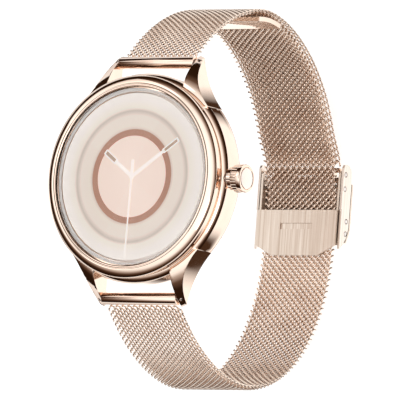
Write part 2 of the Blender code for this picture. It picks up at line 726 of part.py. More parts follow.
# ---- Clasp: the sliding frame and its lock lever ----
def wall_outline():
    """One side wall: a straight inner edge, a rounded top and a long taper at the bottom."""
    step_y = LEVER_TOP_Y + 0.15
    inner = LEVER_T + 0.05
    top = [(CLASP_TOP_Y - 0.8, inner), (CLASP_TOP_Y - 0.2, inner + 0.35), (CLASP_TOP_Y, inner + 1.0),
           (CLASP_TOP_Y - 0.15, CLASP_DEPTH - 1.2), (CLASP_TOP_Y - 0.9, CLASP_DEPTH - 0.4),
           (CLASP_TOP_Y - 2.1, CLASP_DEPTH)]
    bottom = [(CLASP_BOTTOM_Y + 4.4, CLASP_DEPTH), (CLASP_BOTTOM_Y + 2.4, CLASP_DEPTH - 0.65),
              (CLASP_BOTTOM_Y + 0.9, CLASP_DEPTH - 1.7), (CLASP_BOTTOM_Y, CLASP_DEPTH - 2.7)]
    under = [(CLASP_BOTTOM_Y + 0.1, MESH_INNER_N), (step_y, MESH_INNER_N), (step_y, inner)]
    return top + bottom + under


def clasp_pin(name, place, x_low, x_high, parent, radius=CLASP_PIN_R):
    pin = rod(radius, x_low, x_high, across=clasp(*place))
    attach(finish(pin, name, STEEL, 0.3), parent)


def pin_hole(item, place, x_low, x_high, name, radius=CLASP_PIN_R):
    cut(item, rod(radius + RUNNING, x_low, x_high, across=clasp(*place)), name)


def make_clasp_frame(parent):
    """Two side walls joined by two cross plates outside the strap that runs through."""
    outline = clasp_outline(wall_outline())
    frame = side_plate(outline, WALL_IN_X, WALL_OUT_X)
    join(frame, side_plate(outline, -WALL_OUT_X, -WALL_IN_X), "left_wall")
    middle_x = (WALL_IN_X + WALL_OUT_X) / 2
    floor_z = CLASP_INNER_Z - FLOOR_N
    upper_plate = box((-middle_x, UPPER_PLATE_Y[0], floor_z - FLOOR_T), (middle_x, UPPER_PLATE_Y[1], floor_z))
    join(frame, upper_plate, "upper_cross_plate")
    low_y = CLASP_BOTTOM_Y + 1.0
    lower_plate = box((-middle_x, low_y, floor_z - LOWER_PLATE_T), (middle_x, low_y + LOWER_PLATE_L, floor_z))
    join(frame, lower_plate, "lower_cross_plate")
    for place, name in ((CATCH_BAR, "catch"), (LOWER_BAR, "lower"), (LEVER_PIVOT, "lever"), (GUIDE_RIVET, "rivet")):
        for side, label in ((-1, "left"), (1, "right")):
            ends = sorted((side * (WALL_IN_X - 0.1), side * (WALL_OUT_X + 1)))
            pin_hole(frame, place, *ends, f"{name}_hole_{label}")
    attach(finish(frame, "clasp_frame", PALE_ROSE, 0.35), parent)
    clasp_pin("catch_bar", CATCH_BAR, -WALL_OUT_X, WALL_OUT_X, parent)
    clasp_pin("lower_bar", LOWER_BAR, -WALL_OUT_X, WALL_OUT_X, parent)
    for side, label in ((-1, "left"), (1, "right")):
        ends = sorted((side * WALL_OUT_X, side * (ARM_OUT_X + 0.1)))
        clasp_pin(f"guide_rivet_{label}", GUIDE_RIVET, *ends, parent)
        ends = sorted((side * WALL_OUT_X, side * ARM_IN_X))
        clasp_pin(f"lever_pin_{label}", LEVER_PIVOT, *ends, parent)


def lever_plate_outline():
    half = ARM_OUT_X
    return [(-half, LEVER_TOP_Y), (-half, LEVER_BOTTOM_Y + LEVER_CUT_Y), (-half + LEVER_CUT_X, LEVER_BOTTOM_Y),
            (half - LEVER_CUT_X, LEVER_BOTTOM_Y), (half, LEVER_BOTTOM_Y + LEVER_CUT_Y), (half, LEVER_TOP_Y)]


def lever_arm_outline():
    """One side arm, from ribs under the plate to a round eye on the pivot."""
    y, n = LEVER_PIVOT
    eye = [(y + 0.85 * sin(a), n - 0.85 * cos(a)) for a in [radians(20 * i) for i in range(0, 10)]]
    low_n = MESH_INNER_N + 0.75
    return eye + [(LEVER_TOP_Y, low_n), (LEVER_BOTTOM_Y + LEVER_CUT_Y + 1.2, low_n),
                  (LEVER_BOTTOM_Y + LEVER_CUT_Y + 0.4, LEVER_T - 0.2), (LEVER_TOP_Y - 0.3, LEVER_T - 0.2),
                  (LEVER_TOP_Y, n - 0.85)]


def make_lever(parent):
    lever = flat_plate(lever_plate_outline(), CLASP_INNER_Z - LEVER_T, CLASP_INNER_Z)
    slot = box((-SLOT_L / 2, SLOT_Y - SLOT_W / 2, CLASP_INNER_Z - SLOT_DEPTH),
               (SLOT_L / 2, SLOT_Y + SLOT_W / 2, CLASP_INNER_Z + 1))
    cut(lever, slot, "release_recess")
    outline = clasp_outline(lever_arm_outline())
    for side, label in ((-1, "left"), (1, "right")):
        ends = sorted((side * ARM_IN_X, side * ARM_OUT_X))
        join(lever, side_plate(outline, *ends), f"lever_arm_{label}")
        holes = sorted((side * (ARM_IN_X - 0.5), side * (ARM_OUT_X + 0.1)))
        pin_hole(lever, LEVER_PIVOT, *holes, f"lever_eye_{label}")
    attach(finish(lever, "lock_lever", PALE_ROSE, 0.35), parent)


# ---- Clasp: the end of the upper strap, its hook and the cover ----
def knuckle(place, radius, x_low, x_high):
    return rod(radius, x_low, x_high, across=clasp(*place))


def make_end_clip(parent):
    """The plate on the end of the upper strap, with two knuckles for the hook's pin."""
    end = resample(upper_line(), STEP)[-1]
    end_n = CLASP_INNER_Z - end.y
    y, n = HOOK_PIVOT
    face_y = STRAP_MEET_Y - CLEARANCE
    outline = [(face_y, end_n - STRAP_T / 2), (face_y, end_n + STRAP_T / 2),
               (y + 0.35, n + KNUCKLE_R * 0.85), (y, n), (y + 0.2, n - KNUCKLE_R * 0.9)]
    clip = side_plate(clasp_outline(outline), -STRAP_HALF, STRAP_HALF)
    join(clip, knuckle(HOOK_PIVOT, KNUCKLE_R, -STRAP_HALF + 1.6, STRAP_HALF - 1.6), "clip_knuckle")
    gap_z = CLASP_INNER_Z - n
    centre = box((-2.5 - 0.2, y - 2, gap_z - 2), (2.5 + 0.2, y + KNUCKLE_R + 0.25, gap_z + 2))
    cut(clip, centre, "clip_gap")
    for side, label in ((-1, "left"), (1, "right")):
        ends = sorted((side * (STRAP_HALF - 1.6), side * (STRAP_HALF + 1)))
        gap = box((ends[0], y - 2, gap_z - 2), (ends[1], y + EAR_GAP_Y, gap_z + 2))
        cut(clip, gap, f"clip_side_gap_{label}")
    pin_hole(clip, HOOK_PIVOT, -STRAP_HALF - 1, STRAP_HALF + 1, "clip_bore", HOOK_PIN_R)
    attach(finish(clip, "upper_end_clip", ROSE, 0.2), parent)
    pin = knuckle(HOOK_PIVOT, HOOK_PIN_R, -STRAP_HALF + 0.3, STRAP_HALF - 0.3)
    attach(finish(pin, "hook_pin", STEEL, 0.3), parent)


def make_hook(parent):
    """The hook plate: a knuckle on the pin, a plate over the frame and a lip behind the catch bar."""
    y, n = HOOK_PIVOT
    bar_y, bar_n = CATCH_BAR
    lip_y = bar_y - CLASP_PIN_R - HOOK_LIP_GAP
    half = HOOK_W / 2
    plate_z = CLASP_INNER_Z - HOOK_N
    hook = box((-half, lip_y - 0.45, plate_z - HOOK_T), (half, y - KNUCKLE_R - 0.25, plate_z))
    lip = box((-half, lip_y - 0.45, plate_z - HOOK_T / 2), (half, lip_y, CLASP_INNER_Z - bar_n + 0.3))
    join(hook, lip, "hook_lip")
    arm_edge = [(y - 1.2, HOOK_N), (y, n - 0.2), (y, n + 0.5), (y - 1.2, HOOK_N + HOOK_T)]
    arm = side_plate(clasp_outline(arm_edge), -2.5, 2.5)
    join(hook, arm, "hook_arm")
    join(hook, knuckle(HOOK_PIVOT, KNUCKLE_R, -2.5, 2.5), "hook_knuckle")
    pin_hole(hook, HOOK_PIVOT, -STRAP_HALF, STRAP_HALF, "hook_bore", HOOK_PIN_R)
    attach(finish(hook, "hook", STEEL, 0.3), parent)


def make_cover(parent):
    """The fold-over cover: a plate outside everything, bent in at its free end, with two ears."""
    y, n = HOOK_PIVOT
    start_y = y - COVER_START
    out_n = COVER_N + COVER_T
    bend_y = CLASP_BOTTOM_Y + 4.3
    end_y = CLASP_BOTTOM_Y + 1.4
    outline = [(start_y, COVER_N), (start_y, out_n - 0.2), (start_y - 0.3, out_n), (bend_y, out_n),
               (end_y, out_n - 1.15), (end_y + 0.15, COVER_N - 1.0), (bend_y, COVER_N)]
    cover = side_plate(clasp_outline(outline), -WALL_OUT_X, WALL_OUT_X)
    ear = [(y - 0.2, n - KNUCKLE_R), (y + KNUCKLE_R * 0.8, n - 0.3), (y + KNUCKLE_R * 0.8, n + 0.6),
           (start_y, COVER_N + 0.1), (y - 2.2, COVER_N + 0.1), (y - 1.2, n - 0.1)]
    for side, label in ((-1, "left"), (1, "right")):
        ends = sorted((side * (STRAP_HALF - 1.4), side * (STRAP_HALF - 0.6)))
        join(cover, side_plate(clasp_outline(ear), *ends), f"cover_ear_{label}")
    pin_hole(cover, HOOK_PIVOT, -STRAP_HALF, STRAP_HALF, "cover_bore", HOOK_PIN_R)
    attach(finish(cover, "clasp_cover", PALE_ROSE, 0.3), parent)


def main():
    make_mid_case()
    make_bezel()
    make_glass_stack()
    make_inside()
    make_back()
    upper = pivot("upper_strap_pivot", BAR_Y, BAR_Z)
    lower = pivot("lower_strap_pivot", -BAR_Y, BAR_Z)
    slide = pivot("crown_slide", 0, CROWN_Z, x=CASE_R)
    spin = pivot("crown_spin", 0, CROWN_Z, slide, x=HEAD_X)
    cover_pivot = pivot("cover_pivot", *clasp(*HOOK_PIVOT), upper)
    hook_pivot = pivot("hook_pivot", *clasp(*HOOK_PIVOT), upper)
    lever_pivot = pivot("lever_pivot", *clasp(*LEVER_PIVOT), lower)
    make_crown(slide, spin)
    make_spring_bar("upper_spring_bar", 1)
    make_spring_bar("lower_spring_bar", -1)
    make_end_tube("upper_end_tube", 1, upper)
    make_end_tube("lower_end_tube", -1, lower)
    make_straps(upper, lower)
    make_clasp_frame(lower)
    make_lever(lever_pivot)
    make_end_clip(upper)
    make_hook(hook_pivot)
    make_cover(cover_pivot)


clear_scene()
WATCH = new_collection("smartwatch")
CUTTERS = new_collection("cutters")
main()
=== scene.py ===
"""Looks of a round smartwatch on a woven wire strap with a sliding fold-over clasp.

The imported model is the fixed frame. Every size is in metres and every angle in radians unless
its name or its text says otherwise. +Z points out of the display, +X to the crown, +Y to 12 o'clock.
"""

from __future__ import annotations

import logging
import math
from dataclasses import dataclass
from enum import Enum
from typing import Optional, Sequence

import bpy
import numpy as np
from mathutils import Matrix, Vector


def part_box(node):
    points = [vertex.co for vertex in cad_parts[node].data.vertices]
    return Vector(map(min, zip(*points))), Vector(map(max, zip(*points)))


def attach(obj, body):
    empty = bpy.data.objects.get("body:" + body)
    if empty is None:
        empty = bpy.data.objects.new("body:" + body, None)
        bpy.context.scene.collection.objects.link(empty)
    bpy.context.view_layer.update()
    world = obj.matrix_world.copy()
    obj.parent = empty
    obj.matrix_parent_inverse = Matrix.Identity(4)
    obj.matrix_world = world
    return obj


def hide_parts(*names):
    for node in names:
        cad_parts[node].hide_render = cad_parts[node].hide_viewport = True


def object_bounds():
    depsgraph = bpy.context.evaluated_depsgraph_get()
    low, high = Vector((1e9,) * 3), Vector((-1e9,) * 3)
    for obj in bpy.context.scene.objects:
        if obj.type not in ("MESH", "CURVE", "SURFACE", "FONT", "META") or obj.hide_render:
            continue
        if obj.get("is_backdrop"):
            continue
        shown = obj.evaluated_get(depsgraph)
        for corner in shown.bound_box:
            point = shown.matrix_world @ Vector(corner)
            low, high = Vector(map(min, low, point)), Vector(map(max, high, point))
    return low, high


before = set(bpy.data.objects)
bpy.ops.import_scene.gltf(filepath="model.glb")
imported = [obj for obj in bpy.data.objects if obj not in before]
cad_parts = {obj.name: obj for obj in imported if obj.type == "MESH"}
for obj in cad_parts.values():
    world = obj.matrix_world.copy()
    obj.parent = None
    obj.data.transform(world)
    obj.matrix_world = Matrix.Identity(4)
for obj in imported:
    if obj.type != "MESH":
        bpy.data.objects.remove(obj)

LOG = logging.getLogger("smartwatch")
MM = 0.001
MERGE = 1e-7
CLOSE = 1e-6
RING_STEPS = 160
FINE_STEPS = 192
SMOOTH_ANGLE = math.radians(34)

Profile = list[tuple[float, float]]
Colour = tuple[float, float, float, float]
Stops = Sequence[tuple[float, Colour]]


class Axis(Enum):
    """The axis that a grain follows."""

    X = "X"
    Y = "Y"
    Z = "Z"


class Cut(Enum):
    """How two solids are combined."""

    AWAY = "DIFFERENCE"
    TOGETHER = "UNION"
    COMMON = "INTERSECT"


# ---- Modelling bench ----
class Bench:
    """Operators that shape one piece at a time, with nothing else selected."""

    @staticmethod
    def clear() -> None:
        """Deselect every object."""
        for other in list(bpy.context.selected_objects):
            other.select_set(False)

    @staticmethod
    def hold(item: bpy.types.Object) -> None:
        """Select one object only and make it active.

        Args:
            item: the object to hold.
        """
        Bench.clear()
        item.select_set(True)
        bpy.context.view_layer.objects.active = item

    @staticmethod
    def settle(item: bpy.types.Object, turn: Optional[Matrix] = None) -> None:
        """Move an object's place into its mesh.

        Args:
            item: the object to settle at the origin.
            turn: a further transform to give its mesh.
        """
        bpy.context.view_layer.update()
        item.data.transform((turn or Matrix.Identity(4)) @ item.matrix_world)
        item.matrix_world = Matrix.Identity(4)

    @staticmethod
    def copied(item: bpy.types.Object, name: str, shift: Sequence[float] = (0, 0, 0)) -> bpy.types.Object:
        """A second piece like the first, with a mesh of its own.

        Args:
            item: the piece to copy.
            name: the copy's name.
            shift: how far the copy lies from the piece.

        Returns:
            The copy.
        """
        twin = bpy.data.objects.new(name, item.data.copy())
        bpy.context.scene.collection.objects.link(twin)
        twin.data.transform(Matrix.Translation(shift))
        return twin

    @staticmethod
    def arc(centre: tuple[float, float], radius: float, first: float, last: float, steps: int) -> Profile:
        """Points along an arc of a profile.

        Args:
            centre: (radius, height) of the arc's centre.
            radius: the arc's own radius.
            first: bearing of its first point in degrees, 0 outward and 90 up.
            last: bearing of its last point in degrees.
            steps: stretches between its points.

        Returns:
            (radius, height) points, both ends among them.
        """
        bearings = [math.radians(first + (last - first) * i / steps) for i in range(steps + 1)]
        return [(centre[0] + radius * math.cos(b), centre[1] + radius * math.sin(b)) for b in bearings]

    @staticmethod
    def turned(name: str, profile: Profile, steps: int = RING_STEPS, closed: bool = True) -> bpy.types.Object:
        """Turn a profile about Z by extruding and scaling a circle from point to point.

        Args:
            name: the piece's name.
            profile: (radius, height) points with no zero radius.
            steps: sides of the circle.
            closed: the last point joins the first; otherwise both ends are filled.

        Returns:
            The turned solid.
        """
        Bench.clear()
        radius, height = profile[0]
        bpy.ops.mesh.primitive_circle_add(vertices=steps, radius=radius, location=(0, 0, height))
        item = bpy.context.object
        item.name = name
        bpy.ops.object.mode_set(mode="EDIT")
        bpy.ops.mesh.select_all(action="SELECT")
        for new_radius, new_height in list(profile[1:]) + ([profile[0]] if closed else []):
            rise = {"value": (0, 0, new_height - height)}
            bpy.ops.mesh.extrude_region_move(TRANSFORM_OT_translate=rise)
            share = new_radius / radius
            bpy.ops.transform.resize(value=(share, share, 1), center_override=(0, 0, new_height))
            radius, height = new_radius, new_height
        bpy.ops.mesh.select_all(action="SELECT")
        bpy.ops.mesh.remove_doubles(threshold=MERGE)
        if not closed:
            bpy.ops.mesh.fill_holes(sides=0)
        bpy.ops.mesh.select_all(action="SELECT")
        bpy.ops.mesh.normals_make_consistent(inside=False)
        bpy.ops.object.mode_set(mode="OBJECT")
        Bench.settle(item)
        return item

    @staticmethod
    def block(name: str, low: Sequence[float], high: Sequence[float]) -> bpy.types.Object:
        """A cuboid to cut or be cut.

        Args:
            name: the piece's name.
            low: its lowest corner.
            high: its highest corner.

        Returns:
            The cuboid.
        """
        Bench.clear()
        size = [b - a for a, b in zip(low, high)]
        centre = [(a + b) / 2 for a, b in zip(low, high)]
        bpy.ops.mesh.primitive_cube_add(size=1, location=centre, scale=size)
        item = bpy.context.object
        item.name = name
        Bench.settle(item)
        return item

    @staticmethod
    def rod(name: str, radius: float, start: Vector, end: Vector, sides: int = 32) -> bpy.types.Object:
        """A round bar to cut or be cut.

        Args:
            name: the piece's name.
            radius: the bar's radius.
            start: middle of its first end.
            end: middle of its other end.
            sides: faces round it.

        Returns:
            The bar.
        """
        Bench.clear()
        along = end - start
        bpy.ops.mesh.primitive_cylinder_add(vertices=sides, radius=radius, depth=along.length)
        item = bpy.context.object
        item.name = name
        turn = along.to_track_quat("Z", "Y").to_matrix().to_4x4()
        Bench.settle(item, Matrix.Translation((start + end) / 2) @ turn)
        return item

    @staticmethod
    def apply(item: bpy.types.Object, modifier: bpy.types.Modifier) -> None:
        """Apply one modifier."""
        Bench.hold(item)
        bpy.ops.object.modifier_apply(modifier=modifier.name)

    @staticmethod
    def combine(item: bpy.types.Object, tool: bpy.types.Object, how: Cut) -> None:
        """Cut, join or intersect one solid with another.

        Args:
            item: the solid that is changed.
            tool: the solid that changes it and is used up.
            how: which of the three.
        """
        step = item.modifiers.new("combine", "BOOLEAN")
        step.operation = how.value
        step.object = tool
        Bench.apply(item, step)
        bpy.data.objects.remove(tool, do_unlink=True)

    @staticmethod
    def bevel(item: bpy.types.Object, width: float, segments: int = 2, angle: float = 30.0) -> None:
        """Round the sharp edges.

        Args:
            item: the piece.
            width: how far each rounded edge reaches.
            segments: steps across it.
            angle: edges sharper than this many degrees are rounded.
        """
        step = item.modifiers.new("bevel", "BEVEL")
        step.width = width
        step.segments = segments
        step.limit_method = "ANGLE"
        step.angle_limit = math.radians(angle)
        step.use_clamp_overlap = True
        Bench.apply(item, step)

    @staticmethod
    def smooth(item: bpy.types.Object, angle: float = SMOOTH_ANGLE) -> None:
        """Shade smooth, with edges past the angle kept sharp."""
        Bench.hold(item)
        bpy.ops.object.shade_smooth_by_angle(angle=angle)

    @staticmethod
    def even_shading(item: bpy.types.Object) -> None:
        """Let large faces set the normals, so flats stay flat beside small bevels.

        Args:
            item: the piece.
        """
        step = item.modifiers.new("weighted", "WEIGHTED_NORMAL")
        step.keep_sharp = True
        Bench.apply(item, step)

    @staticmethod
    def tidy(item: bpy.types.Object, flat_degrees: float = 1.0) -> None:
        """Merge doubles and dissolve the edges inside flat faces.

        Args:
            item: the piece.
            flat_degrees: faces that meet at less than this are one face.
        """
        Bench.hold(item)
        bpy.ops.object.mode_set(mode="EDIT")
        bpy.ops.mesh.select_all(action="SELECT")
        bpy.ops.mesh.remove_doubles(threshold=CLOSE)
        bpy.ops.mesh.dissolve_limited(angle_limit=math.radians(flat_degrees))
        bpy.ops.object.mode_set(mode="OBJECT")

    @staticmethod
    def joined(items: Sequence[bpy.types.Object]) -> bpy.types.Object:
        """Make several objects one.

        Args:
            items: the objects.

        Returns:
            The first of them, which holds them all.
        """
        Bench.hold(items[0])
        for other in items[1:]:
            other.select_set(True)
        bpy.ops.object.join()
        return items[0]

    @staticmethod
    def refined(node: str, width: float, segments: int = 2) -> bpy.types.Object:
        """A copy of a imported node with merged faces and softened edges.

        Args:
            node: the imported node.
            width: how wide its sharp edges are rounded.
            segments: steps across each rounded edge.

        Returns:
            The new piece, named after the node.
        """
        item = Bench.copied(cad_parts[node], f"{node}_fine")
        Bench.tidy(item)
        Bench.bevel(item, width, segments)
        Bench.smooth(item)
        Bench.even_shading(item)
        return item

    @staticmethod
    def fit(item: bpy.types.Object, look: bpy.types.Material, body: str, slot: str,
            node: Optional[str] = None) -> None:
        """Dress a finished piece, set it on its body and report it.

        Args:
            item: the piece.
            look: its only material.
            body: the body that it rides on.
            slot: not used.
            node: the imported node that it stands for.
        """
        item.data.materials.clear()
        item.data.materials.append(look)
        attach(item, body)
        if node:
            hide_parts(node)
        LOG.info("%s: on %s, %d faces", item.name, body, len(item.data.polygons))


# ---- Shader effects ----
class Effects:
    """Node groups shared by the finishes, each built once."""

    made: dict[str, bpy.types.NodeTree] = {}

    @staticmethod
    def group(name: str, inputs: dict[str, float], outputs: Sequence[str]) -> bpy.types.NodeTree:
        """Start a group.

        Args:
            name: the group's name.
            inputs: the names and first values of its inputs, besides the vector that it always has.
            outputs: the names of its value outputs.

        Returns:
            The group, with sockets and no nodes.
        """
        tree = bpy.data.node_groups.new(name, "ShaderNodeTree")
        tree.interface.new_socket("Vector", in_out="INPUT", socket_type="NodeSocketVector")
        for label, value in inputs.items():
            socket = tree.interface.new_socket(label, in_out="INPUT", socket_type="NodeSocketFloat")
            socket.default_value = value
        for label in outputs:
            tree.interface.new_socket(label, in_out="OUTPUT", socket_type="NodeSocketFloat")
        Effects.made[name] = tree
        return tree

    @staticmethod
    def handling() -> bpy.types.NodeTree:
        """Faint smears and fine hairline scratches of a worn polished surface.

        Returns:
            The group, with Smear and Scratch outputs.
        """
        if "handling" in Effects.made:
            return Effects.made["handling"]
        tree = Effects.group("handling", {"Smear Scale": 180.0, "Scratch Scale": 900.0}, ["Smear", "Scratch"])
        nodes, links = tree.nodes, tree.links
        source, sink = nodes.new("NodeGroupInput"), nodes.new("NodeGroupOutput")
        smear = nodes.new("ShaderNodeTexNoise")
        smear.inputs["Detail"].default_value = 3.0
        links.new(source.outputs["Vector"], smear.inputs["Vector"])
        links.new(source.outputs["Smear Scale"], smear.inputs["Scale"])
        links.new(Shading.scaled(tree, smear.outputs["Fac"], (0.42, 0.75)), sink.inputs["Smear"])
        stretch = nodes.new("ShaderNodeMapping")
        stretch.inputs["Scale"].default_value = (1.0, 14.0, 3.0)
        stretch.inputs["Rotation"].default_value = (0.3, 0.2, 0.7)
        links.new(source.outputs["Vector"], stretch.inputs["Vector"])
        scratch = nodes.new("ShaderNodeTexNoise")
        scratch.inputs["Detail"].default_value = 2.0
        links.new(stretch.outputs["Vector"], scratch.inputs["Vector"])
        links.new(source.outputs["Scratch Scale"], scratch.inputs["Scale"])
        links.new(scratch.outputs["Fac"], sink.inputs["Scratch"])
        return tree

    @staticmethod
    def brushing() -> bpy.types.NodeTree:
        """Long fine lines of a brushed surface, along the axis that the mapping stretches.

        Returns:
            The group, with Lines and Bands outputs.
        """
        if "brushing" in Effects.made:
            return Effects.made["brushing"]
        tree = Effects.group("brushing", {"Fine": 1.0, "Broad": 0.35}, ["Lines", "Bands"])
        nodes, links = tree.nodes, tree.links
        source, sink = nodes.new("NodeGroupInput"), nodes.new("NodeGroupOutput")
        for scale, label, out in ((1.0, "Fine", "Lines"), (0.55, "Broad", "Bands")):
            size = nodes.new("ShaderNodeMath")
            size.operation = "MULTIPLY"
            size.inputs[1].default_value = scale
            links.new(source.outputs[label], size.inputs[0])
            noise = nodes.new("ShaderNodeTexNoise")
            noise.inputs["Detail"].default_value = 4.0
            noise.inputs["Roughness"].default_value = 0.7
            links.new(source.outputs["Vector"], noise.inputs["Vector"])
            links.new(size.outputs["Value"], noise.inputs["Scale"])
            links.new(Shading.scaled(tree, noise.outputs["Fac"], (0.36, 0.66)), sink.inputs[out])
        return tree


class Shading:
    """Short ways to lay out the nodes of a material."""

    @staticmethod
    def started(name: str) -> tuple[bpy.types.Material, bpy.types.NodeTree, bpy.types.Node]:
        """Start a material.

        Args:
            name: the material's name.

        Returns:
            The material, its node tree and its shader.
        """
        made = bpy.data.materials.new(name)
        made.use_nodes = True
        return made, made.node_tree, made.node_tree.nodes["Principled BSDF"]

    @staticmethod
    def scaled(tree: bpy.types.NodeTree, value: bpy.types.NodeSocket, source: tuple[float, float],
               target: tuple[float, float] = (0.0, 1.0)) -> bpy.types.NodeSocket:
        """Bring a value from one range to another.

        Args:
            tree: where the node goes.
            value: the value.
            source: the range that it is read in.
            target: the range that it is brought to.

        Returns:
            The new value.
        """
        node = tree.nodes.new("ShaderNodeMapRange")
        for label, number in zip(("From Min", "From Max", "To Min", "To Max"), source + target):
            node.inputs[label].default_value = number
        tree.links.new(value, node.inputs["Value"])
        return node.outputs["Result"]

    @staticmethod
    def ramp(tree: bpy.types.NodeTree, share: bpy.types.NodeSocket, stops: Stops) -> bpy.types.NodeSocket:
        """Read a colour from a ramp.

        Args:
            tree: where the node goes.
            share: the place on the ramp, 0 to 1.
            stops: (place, colour) of each stop, in order.

        Returns:
            The colour.
        """
        node = tree.nodes.new("ShaderNodeValToRGB")
        elements = node.color_ramp.elements
        for i, (position, colour) in enumerate(stops):
            stop = elements[i] if i < 2 else elements.new(position)
            stop.position = position
            stop.color = colour
        tree.links.new(share, node.inputs["Fac"])
        return node.outputs["Color"]

    @staticmethod
    def mixed(tree: bpy.types.NodeTree, mask: bpy.types.NodeSocket, clean: Colour,
              worn: Colour) -> bpy.types.NodeSocket:
        """Mix two colours by a mask.

        Args:
            tree: where the node goes.
            mask: 0 for the first colour and 1 for the second.
            clean: the first colour.
            worn: the second colour.

        Returns:
            The mixed colour.
        """
        node = tree.nodes.new("ShaderNodeMix")
        node.data_type = "RGBA"
        node.inputs["A"].default_value = clean
        node.inputs["B"].default_value = worn
        tree.links.new(mask, node.inputs["Factor"])
        return node.outputs["Result"]

    @staticmethod
    def marks(tree: bpy.types.NodeTree, scale: Optional[float] = None) -> bpy.types.Node:
        """Place the handling marks on a piece.

        Args:
            tree: where the group goes.
            scale: scale of the smears, or None for the group's own.

        Returns:
            The group's node.
        """
        place = tree.nodes.new("ShaderNodeTexCoord")
        effect = tree.nodes.new("ShaderNodeGroup")
        effect.node_tree = Effects.handling()
        if scale:
            effect.inputs["Smear Scale"].default_value = scale
        tree.links.new(place.outputs["Object"], effect.inputs["Vector"])
        return effect

    @staticmethod
    def gloss(tree: bpy.types.NodeTree, mask: bpy.types.NodeSocket, clean: float, worn: float) -> None:
        """Set the shader's roughness from a mask.

        Args:
            tree: the material's node tree.
            mask: 0 where the surface is clean and 1 where it is worn.
            clean: roughness of the clean surface.
            worn: roughness of the worn surface.
        """
        value = Shading.scaled(tree, mask, (0.0, 1.0), (clean, worn))
        tree.links.new(value, tree.nodes["Principled BSDF"].inputs["Roughness"])

    @staticmethod
    def relief(tree: bpy.types.NodeTree, height: bpy.types.NodeSocket, depth: float, strength: float) -> None:
        """Set the shader's normal from a height.

        Args:
            tree: the material's node tree.
            height: 0 to 1.
            depth: what a height of 1 stands for.
            strength: how much of it shows, 0 to 1.
        """
        bump = tree.nodes.new("ShaderNodeBump")
        bump.inputs["Distance"].default_value = depth
        bump.inputs["Strength"].default_value = strength
        tree.links.new(height, bump.inputs["Height"])
        tree.links.new(bump.outputs["Normal"], tree.nodes["Principled BSDF"].inputs["Normal"])


@dataclass(frozen=True)
class Finish:
    """One material: its colours, gloss and surface effect.

    Attributes:
        name: the material's name.
        colour: base colour of the clean surface.
        shade: base colour where it is smeared, worn or in the grain.
        roughness: roughness of the clean surface.
        spread: how much the effect adds to the roughness.
        metallic: 1 for metal.
        bump: height of the effect's relief.
        grain: axis of the brushing, or None for handling marks.
        across: how close the brushing's lines are.
        along: how soon a line of the brushing ends.
    """

    name: str
    colour: Colour
    shade: Colour
    roughness: float
    spread: float
    metallic: float = 1.0
    bump: float = 0.0
    grain: Optional[Axis] = None
    across: float = 9000.0
    along: float = 120.0

    def brushed(self, tree: bpy.types.NodeTree) -> bpy.types.Node:
        """Place the brushing on a piece.

        Args:
            tree: the material's node tree.

        Returns:
            The group's node.
        """
        place = tree.nodes.new("ShaderNodeTexCoord")
        stretch = tree.nodes.new("ShaderNodeMapping")
        scales = [self.along if axis is self.grain else self.across for axis in Axis]
        stretch.inputs["Scale"].default_value = scales
        effect = tree.nodes.new("ShaderNodeGroup")
        effect.node_tree = Effects.brushing()
        tree.links.new(place.outputs["Object"], stretch.inputs["Vector"])
        tree.links.new(stretch.outputs["Vector"], effect.inputs["Vector"])
        return effect

    def build(self) -> bpy.types.Material:
        """Make the material, or find the one made before.

        Returns:
            The material.
        """
        known = bpy.data.materials.get(self.name)
        if known:
            return known
        made, tree, shader = Shading.started(self.name)
        shader.inputs["Metallic"].default_value = self.metallic
        if self.grain is None:
            effect = Shading.marks(tree)
            mask, height = effect.outputs["Smear"], effect.outputs["Scratch"]
        else:
            effect = self.brushed(tree)
            mask, height = effect.outputs["Bands"], effect.outputs["Lines"]
        tree.links.new(Shading.mixed(tree, mask, self.colour, self.shade), shader.inputs["Base Color"])
        Shading.gloss(tree, mask, self.roughness, self.roughness + self.spread)
        if self.bump:
            Shading.relief(tree, height, self.bump, 0.6)
        return made


POLISHED = Finish("polished_rose_gold", (0.90, 0.73, 0.62, 1), (0.86, 0.68, 0.57, 1), 0.05, 0.05, bump=2e-7)
BRIGHT = Finish("pale_rose_inlay", (0.95, 0.80, 0.74, 1), (0.90, 0.74, 0.67, 1), 0.24, 0.08, bump=2e-7)
WIRE = Finish("woven_wire_rose", (0.97, 0.82, 0.71, 1), (0.88, 0.70, 0.58, 1), 0.16, 0.12, bump=4e-7)
BRUSHED_Y = Finish("brushed_rose_lengthways", (0.86, 0.76, 0.67, 1), (0.70, 0.57, 0.47, 1), 0.30, 0.16,
                   bump=1.2e-6, grain=Axis.Y)
SATIN_WALL = Finish("satin_rose_wall", (0.88, 0.79, 0.72, 1), (0.78, 0.67, 0.59, 1), 0.34, 0.12,
                    bump=8e-7, grain=Axis.Y)
BRUSHED_BACK = Finish("brushed_rose_back", (0.88, 0.70, 0.61, 1), (0.78, 0.60, 0.51, 1), 0.28, 0.14,
                      bump=1e-6, grain=Axis.X)
PIN_STEEL = Finish("pin_steel", (0.80, 0.74, 0.71, 1), (0.66, 0.60, 0.57, 1), 0.22, 0.12, bump=4e-7)
SCREW_STEEL = Finish("screw_steel", (0.74, 0.73, 0.73, 1), (0.62, 0.61, 0.61, 1), 0.2, 0.12, bump=4e-7)
PAD_GOLD = Finish("contact_gold", (0.93, 0.72, 0.36, 1), (0.82, 0.60, 0.28, 1), 0.16, 0.12, bump=3e-7)
SEAL_RUBBER = Finish("seal_rubber", (0.03, 0.03, 0.032, 1), (0.05, 0.05, 0.05, 1), 0.7, 0.15, 0.0, 2e-6)
PALE_SEAL = Finish("pale_crystal_seal", (0.92, 0.89, 0.87, 1), (0.86, 0.82, 0.80, 1), 0.45, 0.1, 0.0, 1e-6)
